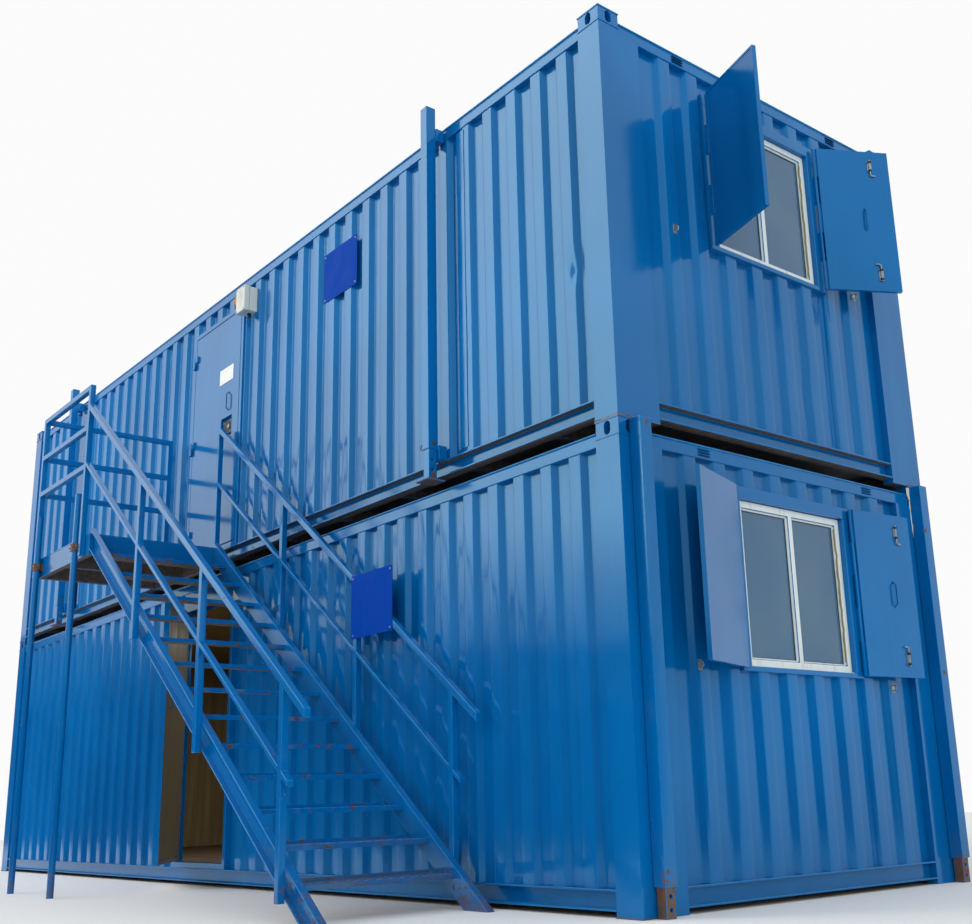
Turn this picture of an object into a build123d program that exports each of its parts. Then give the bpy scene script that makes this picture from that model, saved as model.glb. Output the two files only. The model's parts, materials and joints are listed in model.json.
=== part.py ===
"""Two stacked steel site cabins with an outside stair.

Each cabin is a welded frame of rails and folded corner posts that carries ribbed
steel walls, a floor, a roof and a board lining.  The lower door hangs on lift-off hinges
and the four window shutters on knuckled edges.  +X points to the window end, the doors
face -Y and the origin lies on the ground under the middle of the whole assembly.
"""

import os
from math import atan, cos, degrees, radians, sin

from build123d import *

# Cabin frame
cabin_length = 9750
cabin_width = 2740
cabin_height = 2445
foot_height = 30
foot_plate_proud = 4
bottom_rail_height = 100
top_rail_height = 75
top_rail_drop = 58
top_rail_lip = 10
top_rail_lip_proud = 9
rail_depth = 75
rail_flange = 10
rail_groove = 46
post_long_face = 175
post_end_face = 310
casting_length = 170
casting_width = 155
casting_height = 100
casting_plate = 8
casting_slot_length = 72
casting_slot_width = 46
casting_slot_depth = 60
joist_pitch = 780
joist_width = 50
hole_sides = 8

# Walls, floor, roof and lining
wall_inset = 15
rib_pitch = 238.5
rib_crest = 94
rib_flank = 22
rib_depth = 34
rib_end_margin = 100
floor_board = 20
roof_thickness = 50
roof_rib_depth = 18
lining_thickness = 12
lining_gap = 3

# Doorways, measured along the front wall from the window end
doorway_setback = 4370
doorway_width = 960
doorway_head = 122
door_frame_width = 40
door_stop = 14
door_clearance = 8
door_thickness = 44
door_rim = 34
door_recess = 3
door_open_angle = 33

# Window in the end wall, and its shutters
window_wall_share = 0.4387
window_height = 925
window_head = 182
window_surround = 70
window_sill_band = 28
window_frame_width = 45
window_frame_depth = 40
window_recess = 30
mullion_width = 40
glass_thickness = 6
shutter_overlap = 36
shutter_head_overlap = 60
shutter_sill_overlap = 15
shutter_thickness = 26
shutter_rim = 14
shutter_recess = 3
shutter_clearance = 8
shutter_meeting_gap = 8
lower_left_angle = 161
lower_right_angle = 174
upper_left_angle = 106
upper_right_angle = 150

# Hinges, handles and bolts
knuckle_radius = 9
knuckle_gap = 0.3
knuckle_count = 5
hinge_plate = 6
hinge_plate_width = 34
door_knuckle_length = 55
door_hinge_inset = 160
door_hinge_stand = 14
handle_length = 170
handle_stand = 28
handle_bar = 10
shutter_handle_gap = 200
door_handle_gap = 182
handle_height_share = 0.615
lock_pocket_width = 200
lock_pocket_height = 172
lock_pocket_depth = 28
lock_pocket_gap = 115
lock_height_share = 0.505
bolt_length = 80
bolt_radius = 8
bolt_plate = 4
bolt_plate_width = 30
bolt_end_inset = 70
bolt_edge_gap = 135

# Jack legs
corner_leg = 80
corner_leg_inset = 74
corner_leg_drop = 12
inner_leg = 62
inner_leg_show = 140
pin_hole_radius = 11
pin_hole_pitch = 60
side_leg = 70
side_leg_setback = 1510
side_leg_stand = 60
side_leg_above = 75
side_leg_drop = 15
side_leg_sleeve_rise = 180
side_inner_leg = 58
side_leg_foot = 130
side_leg_foot_thickness = 10
side_bracket_width = 90
side_bracket_height = 85
side_bracket_rise = 25

# Stair and landing
riser_count = 14
landing_rise = 105
going = 245
first_nosing_setback = 1285
stair_outer = 1105
stair_inner = 95
stringer_depth = 125
stringer_flange = 45
stringer_web = 8
stringer_above_nosing = 40
tread_depth = 235
tread_plate = 6
tread_lip = 26
tread_upstand = 20
landing_length = 1150
landing_beam_depth = 150
deck_plate = 8
landing_cleat_width = 80
landing_cleat_height = 60
landing_cleat_inset = 160

# Handrails and guardrails
rail_tube = 40
mid_rail_tube = 24
post_drop = 14
handrail_height = 960
handrail_overhang = 160
mid_rail_height = 500
guard_height = 1175
guard_rail_heights_share = (0.45, 0.71)
post_setback_share = (0.02, 0.345, 0.67)
landing_post_inset = 75

# Scaffold tube supports
scaffold_radius = 24
scaffold_above = 330
scaffold_inset = 90
scaffold_inner_inset = 180
coupler_radius = 34
coupler_height = 60
coupler_stand = 14

# Supply boxes beside the doors
upper_box_width = 150
upper_box_height = 220
upper_box_depth = 120
upper_box_side_gap = 60
upper_box_rise = 60
lower_box_width = 150
lower_box_height = 170
lower_box_depth = 60
lower_box_side_gap = 80
lower_box_rise = 90

overrun = 20

# Overall places.  The shutter that stands open, the corner legs, the scaffold tubes
# and the side legs reach furthest, and the origin is put midway between them.
window_width = (cabin_width - 2 * post_end_face) * window_wall_share
shutter_width = window_width / 2 + shutter_overlap - shutter_meeting_gap / 2
near_reach = shutter_width * sin(radians(upper_left_angle)) + shutter_thickness
far_reach = foot_plate_proud + corner_leg
front_reach = stair_outer + coupler_stand + scaffold_radius + coupler_radius
back_reach = side_leg_stand + side_leg
x_near = cabin_length / 2 - (near_reach - far_reach) / 2
x_far = x_near - cabin_length
y_front = -cabin_width / 2 + (front_reach - back_reach) / 2
y_back = y_front + cabin_width
x_mid = (x_near + x_far) / 2
y_mid = (y_front + y_back) / 2

levels = {"lower": 0, "upper": cabin_height}
rail_top = foot_height + bottom_rail_height
wall_top = cabin_height - top_rail_drop - top_rail_height
wall_height = wall_top - rail_top
wall_thickness = rail_depth - wall_inset
floor_top = rail_top + floor_board
lining_inside = rail_depth + lining_thickness
ceiling_bottom = wall_top - lining_thickness

doorway_top = wall_top - doorway_head
doorway_near = x_near - doorway_setback
doorway_far = doorway_near - doorway_width
doorway_mid = (doorway_near + doorway_far) / 2
sill_top = floor_top + door_frame_width / 2
leaf_width = doorway_width - 2 * door_frame_width - 2 * door_clearance
leaf_bottom = sill_top + door_clearance
leaf_top = doorway_top - door_frame_width - door_clearance
leaf_far = doorway_far + door_frame_width + door_clearance
leaf_near = leaf_far + leaf_width
hinge_x = doorway_far + door_frame_width + door_clearance / 2
hinge_y = y_front - door_hinge_stand
door_knuckle_low = leaf_bottom + door_hinge_inset
door_knuckle_step = (leaf_top - leaf_bottom - 2 * door_hinge_inset - door_knuckle_length) / 2

window_sill = wall_top - window_head - window_height
shutter_sill = window_sill - shutter_sill_overlap
shutter_height = window_height + shutter_sill_overlap + shutter_head_overlap
shutter_edge_gap = knuckle_radius + shutter_clearance
shutter_axis_offset = shutter_meeting_gap / 2 + shutter_width + shutter_edge_gap
shutter_axis_x = x_near + shutter_clearance + shutter_thickness / 2
knuckle_pitch = shutter_height / knuckle_count

landing_level = cabin_height + landing_rise
riser = landing_level / riser_count
slope = riser / going
slope_angle = degrees(atan(slope))
first_nosing = x_near - first_nosing_setback
landing_edge = first_nosing - going * (riser_count - 1)
landing_end = landing_edge - landing_length
y_stair_outer = y_front - stair_outer
y_stair_inner = y_front - stair_inner
y_outer_web = y_stair_outer + stringer_flange
y_inner_web = y_stair_inner - stringer_flange
y_outer_rail = y_stair_outer - rail_tube
y_inner_rail = y_stair_inner


def nosing_height(x):
    """Height of the line through the tread nosings at a place along the stair."""
    return riser + (first_nosing - x) * slope


def keep(piece, name):
    """Name a finished piece and write it out."""
    piece.label = name
    os.makedirs("parts", exist_ok=True)
    export_step(piece, f"parts/{name}.step")


def rib_outline(length, depth, thickness):
    """Outline of a ribbed sheet on a flat core: crests at zero, core side at thickness."""
    gaps = max(0, int((length - rib_crest - 2 * rib_end_margin) // rib_pitch))
    margin = (length - gaps * rib_pitch - rib_crest) / 2
    points = [(0, thickness), (0, depth)]
    for rib in range(gaps + 1):
        start = margin + rib * rib_pitch
        points += [(start - rib_flank, depth), (start, 0)]
        points += [(start + rib_crest, 0), (start + rib_crest + rib_flank, depth)]
    return points + [(length, depth), (length, thickness)]


def ribbed_wall(start, along, length):
    """A wall of upright ribbed sheet on its core, from a start point along a direction."""
    with BuildPart() as wall:
        with BuildSketch(Plane(origin=start, x_dir=along, z_dir=(0, 0, 1))):
            with BuildLine():
                Polyline(*rib_outline(length, rib_depth, wall_thickness), close=True)
            make_face()
        extrude(amount=wall_height)
    return wall.part


def block(low, high):
    """A plain block between two corners."""
    with BuildPart() as piece:
        with BuildSketch(Plane.XY.offset(low[2])):
            with Locations(((low[0] + high[0]) / 2, (low[1] + high[1]) / 2)):
                Rectangle(high[0] - low[0], high[1] - low[1])
        extrude(amount=high[2] - low[2])
    return piece.part


def rail_ring(low, height, length, end_length):
    """Two long rails and two end rails round the cabin's edge, from a height up."""
    with BuildPart() as ring:
        with BuildSketch(Plane.XY.offset(low)):
            for y_rail in (y_front + rail_depth / 2, y_back - rail_depth / 2):
                with Locations((x_mid, y_rail)):
                    Rectangle(length, rail_depth)
            for x_rail in (x_near - rail_depth / 2, x_far + rail_depth / 2):
                with Locations((x_rail, y_mid)):
                    Rectangle(rail_depth, end_length)
        extrude(amount=height)
    return ring.part


def outer_groove(low, height, depth):
    """A band all round the cabin's outside, to be cut out of a ring of rails."""
    with BuildPart() as band:
        with BuildSketch(Plane.XY.offset(low)):
            with Locations((x_mid, y_mid)):
                Rectangle(cabin_length + 2 * overrun, cabin_width + 2 * overrun)
                Rectangle(cabin_length - 2 * depth, cabin_width - 2 * depth, mode=Mode.SUBTRACT)
        extrude(amount=height)
    return band.part


def slanted_bar(foot_x, head_x, below_nosing, depth):
    """Corner points of a bar that runs parallel to the nosing line."""
    return [
        (foot_x, nosing_height(foot_x) - below_nosing),
        (head_x, nosing_height(head_x) - below_nosing),
        (head_x, nosing_height(head_x) - below_nosing - depth),
        (foot_x, nosing_height(foot_x) - below_nosing - depth),
    ]


def slot(length, width):
    """A long hole with few-sided round ends, upright in the sketch's own X."""
    Rectangle(length - width, width)
    with Locations((-(length - width) / 2, 0), ((length - width) / 2, 0)):
        RegularPolygon(width / 2, hole_sides, major_radius=False)


def barrel(plane, x, y, length):
    """One few-sided hinge knuckle, standing on a plane."""
    with BuildPart() as knuckle:
        with BuildSketch(plane):
            with Locations((x, y)):
                RegularPolygon(knuckle_radius, hole_sides, major_radius=False)
        extrude(amount=length)
    return knuckle.part


def bow_outline(stand):
    """Outline of a bow handle seen from its side, and of the finger gap inside it."""
    half = handle_length / 2
    outer = [(-half, 0), (-half + stand, stand), (half - stand, stand), (half, 0)]
    inner_half = half - handle_bar
    inner_stand = stand - handle_bar
    gap = [
        (-inner_half, 0),
        (-inner_half + inner_stand, inner_stand),
        (inner_half - inner_stand, inner_stand),
        (inner_half, 0),
    ]
    return outer, gap


def bow_handle(origin, outward, across):
    """A bow handle that stands out of a face, upright, with its width along across."""
    outer, gap = bow_outline(handle_stand)
    side = Plane(origin=origin, x_dir=(0, 0, 1), z_dir=across)
    if side.y_dir.dot(Vector(*outward)) < 0:
        outer = [(u, -v) for u, v in outer]
        gap = [(u, -v) for u, v in gap]
    with BuildPart() as handle:
        with BuildSketch(side):
            with BuildLine():
                Polyline(*outer, close=True)
            make_face()
            with BuildLine():
                Polyline(*gap, close=True)
            make_face(mode=Mode.SUBTRACT)
        extrude(amount=handle_bar / 2, both=True)
    return handle.part


# Pieces that both cabins share
for cabin, level in levels.items():
    # Base frame: channel rails round the edge, grooved on the outside, and joists between
    rail_length = cabin_length - 2 * post_long_face
    end_rail_length = cabin_width - 2 * post_end_face
    joist_count = int(rail_length // joist_pitch)
    with BuildPart() as base_frame:
        add(rail_ring(level + foot_height, bottom_rail_height, rail_length, end_rail_length))
        groove_low = level + foot_height + rail_flange
        groove_height = bottom_rail_height - 2 * rail_flange
        add(outer_groove(groove_low, groove_height, rail_groove), mode=Mode.SUBTRACT)
        with BuildSketch(Plane.XY.offset(groove_low)):
            with Locations((x_mid, y_mid)):
                with GridLocations(joist_pitch, 0, joist_count, 1):
                    Rectangle(joist_width, cabin_width - 2 * (rail_depth - rail_flange))
        extrude(amount=bottom_rail_height - rail_flange)
    keep(base_frame.part, f"{cabin}_base_frame")

    # Corner posts: folded angles with a slotted casting on top and a plate for a foot
    with BuildPart() as corner_posts:
        for x_end, along in ((x_near, -1), (x_far, 1)):
            for y_side, across in ((y_front, 1), (y_back, -1)):
                with BuildSketch(Plane.XY.offset(level)):
                    with BuildLine():
                        Polyline(
                            (x_end, y_side),
                            (x_end + along * post_long_face, y_side),
                            (x_end + along * post_long_face, y_side + across * rail_depth),
                            (x_end + along * rail_depth, y_side + across * rail_depth),
                            (x_end + along * rail_depth, y_side + across * post_end_face),
                            (x_end, y_side + across * post_end_face),
                            close=True,
                        )
                    make_face()
                extrude(amount=wall_top)
                casting_x = x_end + along * casting_length / 2
                casting_y = y_side + across * casting_width / 2
                casting_mid = level + cabin_height - casting_height / 2
                with BuildSketch(Plane.XY.offset(level + wall_top)):
                    with Locations((casting_x, casting_y)):
                        Rectangle(casting_length, casting_width)
                extrude(amount=cabin_height - wall_top)
                plate_length = casting_length + 2 * foot_plate_proud
                plate_width = casting_width + 2 * foot_plate_proud
                casting_low = level + cabin_height - casting_height
                for plate_z in (level, casting_low, level + cabin_height - casting_plate):
                    with BuildSketch(Plane.XY.offset(plate_z)):
                        with Locations((casting_x, casting_y)):
                            Rectangle(plate_length, plate_width)
                    extrude(amount=casting_plate)
                for face_at, inward in (
                    ((casting_x, y_side, casting_mid), (0, across, 0)),
                    ((x_end, casting_y, casting_mid), (along, 0, 0)),
                ):
                    with BuildSketch(Plane(origin=face_at, x_dir=(0, 0, 1), z_dir=inward)):
                        slot(casting_slot_length, casting_slot_width)
                    extrude(amount=casting_slot_depth, mode=Mode.SUBTRACT)
    keep(corner_posts.part, f"{cabin}_corner_posts")

    # Top rails over the posts, between the castings, with a lip along their upper edge
    top_length = cabin_length - 2 * (casting_length + foot_plate_proud)
    top_end_length = cabin_width - 2 * (casting_width + foot_plate_proud)
    with BuildPart() as top_rails:
        add(rail_ring(level + wall_top, top_rail_height, top_length, top_end_length))
        face_height = top_rail_height - top_rail_lip
        add(outer_groove(level + wall_top, face_height, top_rail_lip_proud), mode=Mode.SUBTRACT)
    keep(top_rails.part, f"{cabin}_top_rails")

    # Floor board inside the posts
    floor = block(
        (x_far + rail_depth, y_front + rail_depth, level + rail_top),
        (x_near - rail_depth, y_back - rail_depth, level + floor_top),
    )
    keep(floor, f"{cabin}_floor")

    # Roof sheet with ribs across the cabin, notched round the castings
    roof_length = cabin_length - 2 * rail_depth
    with BuildPart() as roof:
        roof_origin = (x_far + rail_depth, y_back - rail_depth, level + wall_top + roof_thickness)
        with BuildSketch(Plane(origin=roof_origin, x_dir=(1, 0, 0), z_dir=(0, 1, 0))):
            with BuildLine():
                Polyline(*rib_outline(roof_length, roof_rib_depth, roof_thickness), close=True)
            make_face()
        extrude(amount=-(cabin_width - 2 * rail_depth))
        with BuildSketch(Plane.XY.offset(level + wall_top - overrun)):
            with Locations((x_mid, y_mid)):
                with GridLocations(cabin_length, cabin_width, 2, 2):
                    Rectangle(
                        2 * (casting_length + foot_plate_proud),
                        2 * (casting_width + foot_plate_proud),
                    )
        extrude(amount=roof_thickness + 2 * overrun, mode=Mode.SUBTRACT)
    keep(roof.part, f"{cabin}_roof")

    # Back wall and far end wall
    back_start = (x_near - post_long_face, y_back - wall_inset, level + rail_top)
    keep(ribbed_wall(back_start, (-1, 0, 0), rail_length), f"{cabin}_back_wall")
    far_start = (x_far + wall_inset, y_back - post_end_face, level + rail_top)
    keep(ribbed_wall(far_start, (0, -1, 0), end_rail_length), f"{cabin}_far_end_wall")

    # Window wall: ribbed sheet, a boxed surround flush with the posts, and the window hole
    window_mid = level + window_sill + window_height / 2
    window_start = (x_near - wall_inset, y_front + post_end_face, level + rail_top)
    window_plane = Plane(origin=(x_near, y_mid, window_mid), x_dir=(0, 1, 0), z_dir=(1, 0, 0))
    with BuildPart() as window_wall:
        add(ribbed_wall(window_start, (0, 1, 0), end_rail_length))
        with BuildSketch(window_plane):
            with Locations((0, (window_surround - window_sill_band) / 2)):
                surround_height = window_height + window_surround + window_sill_band
                Rectangle(window_width + 2 * window_surround, surround_height)
        extrude(amount=-rail_depth)
        with BuildSketch(window_plane.offset(overrun)):
            Rectangle(window_width, window_height)
        extrude(amount=-(rail_depth + 2 * overrun), mode=Mode.SUBTRACT)
    keep(window_wall.part, f"{cabin}_window_wall")

    # Window frame with a middle bar, and its two panes
    pane_width = (window_width - 2 * window_frame_width - mullion_width) / 2
    pane_height = window_height - 2 * window_frame_width
    pane_pitch = pane_width + mullion_width
    with BuildPart() as window_frame:
        with BuildSketch(window_plane.offset(-window_recess)):
            Rectangle(window_width, window_height)
            with GridLocations(pane_pitch, 0, 2, 1):
                Rectangle(pane_width, pane_height, mode=Mode.SUBTRACT)
        extrude(amount=-window_frame_depth)
    keep(window_frame.part, f"{cabin}_window_frame")
    with BuildPart() as window_glass:
        with BuildSketch(window_plane.offset(-window_recess - window_frame_depth / 2)):
            with GridLocations(pane_pitch, 0, 2, 1):
                Rectangle(pane_width, pane_height)
        extrude(amount=-glass_thickness)
    keep(window_glass.part, f"{cabin}_window_glass")

    # Lining boards: long walls, end walls with the window hole, and the ceiling
    board_low = level + floor_top + lining_gap
    board_high = level + ceiling_bottom - lining_gap
    x_low = x_far + lining_inside
    x_high = x_near - lining_inside
    y_low = y_front + lining_inside
    y_high = y_back - lining_inside
    head_low = level + doorway_top
    with BuildPart() as lining:
        add(block((x_low, y_high, board_low), (x_high, y_back - rail_depth, board_high)))
        add(block((x_low, y_front + rail_depth, board_low), (doorway_far, y_low, board_high)))
        add(block((doorway_near, y_front + rail_depth, board_low), (x_high, y_low, board_high)))
        over_far = (doorway_far + lining_gap, y_front + rail_depth, head_low)
        add(block(over_far, (doorway_near - lining_gap, y_low, board_high)))
        far_low = (x_far + rail_depth, y_low + lining_gap, board_low)
        add(block(far_low, (x_low - lining_gap, y_high - lining_gap, board_high)))
        near_low = (x_high + lining_gap, y_low + lining_gap, board_low)
        add(block(near_low, (x_near - rail_depth, y_high - lining_gap, board_high)))
        with BuildSketch(window_plane):
            Rectangle(window_width, window_height)
        extrude(amount=-(lining_inside + overrun), mode=Mode.SUBTRACT)
        ceiling_low = (x_far + rail_depth, y_front + rail_depth, level + ceiling_bottom)
        add(block(ceiling_low, (x_near - rail_depth, y_back - rail_depth, level + wall_top)))
    keep(lining.part, f"{cabin}_lining")

    # Door frame with a low sill, and a stop behind the leaf
    with BuildPart() as door_frame:
        add(
            block(
                (doorway_far, y_front, level + rail_top),
                (doorway_near, y_front + rail_depth, level + doorway_top),
            )
        )
        stop_y = y_front + door_thickness + door_clearance
        for margin, cut_from, cut_to in (
            (door_frame_width, y_front - overrun, stop_y),
            (door_frame_width + door_stop, stop_y, y_front + rail_depth + overrun),
        ):
            add(
                block(
                    (doorway_far + margin, cut_from, level + sill_top),
                    (doorway_near - margin, cut_to, level + doorway_top - margin),
                ),
                mode=Mode.SUBTRACT,
            )
    keep(door_frame.part, f"{cabin}_door_frame")

# Front walls: the lower one is split round its doorway, the upper one is cut through
far_length = rail_length - doorway_setback + post_long_face - doorway_width
wall_y = y_front + wall_inset
near_wall = ribbed_wall((doorway_near, wall_y, rail_top), (1, 0, 0), doorway_setback - post_long_face)
keep(near_wall, "lower_front_wall_near")
far_wall = ribbed_wall((x_far + post_long_face, wall_y, rail_top), (1, 0, 0), far_length)
keep(far_wall, "lower_front_wall_far")
over_door = block((doorway_far, wall_y, doorway_top), (doorway_near, y_front + rail_depth, wall_top))
keep(over_door, "lower_front_wall_over_door")
with BuildPart() as upper_front_wall:
    upper_start = (x_far + post_long_face, wall_y, cabin_height + rail_top)
    add(ribbed_wall(upper_start, (1, 0, 0), rail_length))
    with BuildSketch(Plane.XY.offset(cabin_height + rail_top - overrun)):
        with Locations((doorway_mid, y_front + rail_depth / 2)):
            Rectangle(doorway_width, rail_depth + 2 * overrun)
    extrude(amount=doorway_top - rail_top + overrun, mode=Mode.SUBTRACT)
keep(upper_front_wall.part, "upper_front_wall")

# Door leaves: a steel tray with the lining set into its rim, hinge straps and bow
# handles.  Both are made closed, and the lower one is then swung open on its hinge.
for cabin, level in levels.items():
    leaf_low = level + leaf_bottom
    leaf_high = level + leaf_top
    with BuildPart() as door:
        add(block((leaf_far, y_front, leaf_low), (leaf_near, y_front + door_thickness, leaf_high)))
        add(
            block(
                (leaf_far + door_rim, y_front + door_thickness - door_recess, leaf_low + door_rim),
                (leaf_near - door_rim, y_front + door_thickness + overrun, leaf_high - door_rim),
            ),
            mode=Mode.SUBTRACT,
        )
        for rank in range(3):
            knuckle_plane = Plane.XY.offset(level + door_knuckle_low + rank * door_knuckle_step)
            add(barrel(knuckle_plane, hinge_x, hinge_y, door_knuckle_length))
            with BuildSketch(knuckle_plane):
                with Locations((hinge_x + hinge_plate_width / 2, hinge_y)):
                    Rectangle(hinge_plate_width, hinge_plate)
                with Locations((hinge_x + hinge_plate_width, y_front - door_hinge_stand / 2)):
                    Rectangle(hinge_plate_width, door_hinge_stand + hinge_plate)
            extrude(amount=door_knuckle_length)
        pocket_x = leaf_near - lock_pocket_gap - lock_pocket_width / 2
        pocket_z = leaf_low + (leaf_high - leaf_low) * lock_height_share
        with BuildSketch(Plane(origin=(pocket_x, y_front, pocket_z), x_dir=(1, 0, 0), z_dir=(0, 1, 0))):
            Rectangle(lock_pocket_width, lock_pocket_height)
        extrude(amount=lock_pocket_depth, mode=Mode.SUBTRACT)
        handle_x = leaf_near - door_handle_gap
        handle_z = leaf_low + (leaf_high - leaf_low) * handle_height_share
        add(bow_handle((handle_x, y_front, handle_z), (0, -1, 0), (1, 0, 0)))
        inner_face = y_front + door_thickness - door_recess
        add(bow_handle((handle_x, inner_face, handle_z), (0, 1, 0), (1, 0, 0)))
    if cabin == "lower":
        door_axis = Axis((hinge_x, hinge_y, 0), (0, 0, 1))
        keep(door.part.rotate(door_axis, -door_open_angle), "lower_door")
    else:
        keep(door.part, "upper_door")

# Shutters: steel leaves with a folded rim outside and a knuckled edge, made closed and swung open.
# The right one of each pair carries two bolts and a bow handle on its inner face.
shutter_angles = {
    "lower": (lower_left_angle, lower_right_angle),
    "upper": (upper_left_angle, upper_right_angle),
}
for cabin, level in levels.items():
    leaf_low = level + shutter_sill
    leaf_high = leaf_low + shutter_height
    inner_x = shutter_axis_x - shutter_thickness / 2
    outer_x = shutter_axis_x + shutter_thickness / 2
    for side, across, angle in (
        ("left", 1, shutter_angles[cabin][0]),
        ("right", -1, shutter_angles[cabin][1]),
    ):
        axis_y = y_mid - across * shutter_axis_offset
        hinge_edge = axis_y + across * shutter_edge_gap
        free_edge = hinge_edge + across * shutter_width
        edges = sorted((hinge_edge, free_edge))
        with BuildPart() as shutter:
            add(block((inner_x, edges[0], leaf_low), (outer_x, edges[1], leaf_high)))
            add(
                block(
                    (outer_x - shutter_recess, edges[0] + shutter_rim, leaf_low + shutter_rim),
                    (outer_x + overrun, edges[1] - shutter_rim, leaf_high - shutter_rim),
                ),
                mode=Mode.SUBTRACT,
            )
            for rank in range(0, knuckle_count, 2):
                knuckle_plane = Plane.XY.offset(leaf_low + rank * knuckle_pitch + knuckle_gap / 2)
                add(barrel(knuckle_plane, shutter_axis_x, axis_y, knuckle_pitch - knuckle_gap))
                with BuildSketch(knuckle_plane):
                    with Locations((shutter_axis_x, (axis_y + hinge_edge) / 2)):
                        Rectangle(hinge_plate, shutter_edge_gap)
                extrude(amount=knuckle_pitch - knuckle_gap)
            if side == "right":
                handle_y = free_edge - across * shutter_handle_gap
                handle_z = leaf_low + shutter_height / 2
                add(bow_handle((inner_x, handle_y, handle_z), (-1, 0, 0), (0, 1, 0)))
                bolt_y = free_edge - across * bolt_edge_gap
                for bolt_z in (leaf_low + bolt_end_inset, leaf_high - bolt_end_inset - bolt_length):
                    with BuildSketch(Plane.XY.offset(bolt_z)):
                        with Locations((inner_x - bolt_plate / 2, bolt_y)):
                            Rectangle(bolt_plate, bolt_plate_width)
                        with Locations((inner_x - bolt_plate, bolt_y)):
                            RegularPolygon(bolt_radius, hole_sides, major_radius=False)
                    extrude(amount=bolt_length)
        shutter_axis = Axis((shutter_axis_x, axis_y, 0), (0, 0, 1))
        keep(shutter.part.rotate(shutter_axis, -across * angle), f"{cabin}_shutter_{side}")

# Fixed halves of the hinges, on the door frames and on the window surrounds
with BuildPart() as wall_fittings:
    for level in levels.values():
        for rank in range(3):
            leaf_knuckle = level + door_knuckle_low + rank * door_knuckle_step
            knuckle_plane = Plane.XY.offset(leaf_knuckle - knuckle_gap - door_knuckle_length)
            add(barrel(knuckle_plane, hinge_x, hinge_y, door_knuckle_length))
            with BuildSketch(knuckle_plane):
                with Locations((hinge_x - hinge_plate_width / 2, hinge_y)):
                    Rectangle(hinge_plate_width, hinge_plate)
                with Locations((hinge_x - hinge_plate_width * 3 / 4, y_front - door_hinge_stand / 2)):
                    Rectangle(hinge_plate_width / 2, door_hinge_stand)
            extrude(amount=door_knuckle_length)
        for axis_y in (y_mid - shutter_axis_offset, y_mid + shutter_axis_offset):
            for rank in range(1, knuckle_count, 2):
                knuckle_low = level + shutter_sill + rank * knuckle_pitch + knuckle_gap / 2
                knuckle_plane = Plane.XY.offset(knuckle_low)
                add(barrel(knuckle_plane, shutter_axis_x, axis_y, knuckle_pitch - knuckle_gap))
                with BuildSketch(knuckle_plane):
                    with Locations(((x_near + shutter_axis_x) / 2, axis_y)):
                        Rectangle(shutter_axis_x - x_near, hinge_plate)
                extrude(amount=knuckle_pitch - knuckle_gap)
keep(wall_fittings.part, "wall_fittings")

# Corner legs of the lower cabin, with the pinned inner leg showing at the foot
with BuildPart() as lower_jack_legs:
    leg_reach = foot_plate_proud + corner_leg / 2
    for x_leg in (x_near + leg_reach, x_far - leg_reach):
        leg_offset = corner_leg_inset + corner_leg / 2
        for y_leg in (y_front + leg_offset, y_back - leg_offset):
            with BuildSketch(Plane.XY.offset(inner_leg_show)):
                with Locations((x_leg, y_leg)):
                    Rectangle(corner_leg, corner_leg)
            extrude(amount=cabin_height - corner_leg_drop - inner_leg_show)
            with BuildSketch(Plane.XY):
                with Locations((x_leg, y_leg)):
                    Rectangle(inner_leg, inner_leg)
            extrude(amount=inner_leg_show)
            pin_at = (x_leg, y_leg, inner_leg_show / 2)
            with BuildSketch(Plane(origin=pin_at, z_dir=(1, 0, 0), x_dir=(0, 0, 1))):
                with GridLocations(pin_hole_pitch, 0, 2, 1):
                    RegularPolygon(pin_hole_radius, hole_sides)
            extrude(amount=inner_leg, both=True, mode=Mode.SUBTRACT)
keep(lower_jack_legs.part, "lower_jack_legs")

# Side legs of the upper cabin: a sleeve on brackets off the rails, and a pinned inner leg
with BuildPart() as upper_jack_legs:
    sleeve_low = cabin_height + side_leg_sleeve_rise
    leg_low = cabin_height - side_leg_drop
    for x_leg in (x_near - side_leg_setback - side_leg / 2, x_far + side_leg_setback + side_leg / 2):
        for y_side, outward in ((y_front, -1), (y_back, 1)):
            y_leg = y_side + outward * (side_leg_stand + side_leg / 2)
            with BuildSketch(Plane.XY.offset(sleeve_low)):
                with Locations((x_leg, y_leg)):
                    Rectangle(side_leg, side_leg)
            extrude(amount=cabin_height - side_leg_sleeve_rise + side_leg_above)
            with BuildSketch(Plane.XY.offset(leg_low)):
                with Locations((x_leg, y_leg)):
                    Rectangle(side_inner_leg, side_inner_leg)
            extrude(amount=sleeve_low - leg_low)
            pin_at = (x_leg, y_leg, (sleeve_low + leg_low) / 2)
            with BuildSketch(Plane(origin=pin_at, z_dir=(1, 0, 0), x_dir=(0, 0, 1))):
                with GridLocations(pin_hole_pitch, 0, 2, 1):
                    RegularPolygon(pin_hole_radius, hole_sides)
            extrude(amount=side_leg, both=True, mode=Mode.SUBTRACT)
            with BuildSketch(Plane.XY.offset(leg_low)):
                with Locations((x_leg, y_leg)):
                    Rectangle(side_leg_foot, side_leg_foot)
            extrude(amount=-side_leg_foot_thickness)
            for bracket_z in (rail_top - rail_flange, wall_top - side_bracket_rise):
                with BuildSketch(Plane.XY.offset(cabin_height + bracket_z)):
                    with Locations((x_leg, y_side + outward * side_leg_stand / 2)):
                        Rectangle(side_bracket_width, side_leg_stand)
                extrude(amount=side_bracket_height)
keep(upper_jack_legs.part, "upper_jack_legs")

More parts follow.
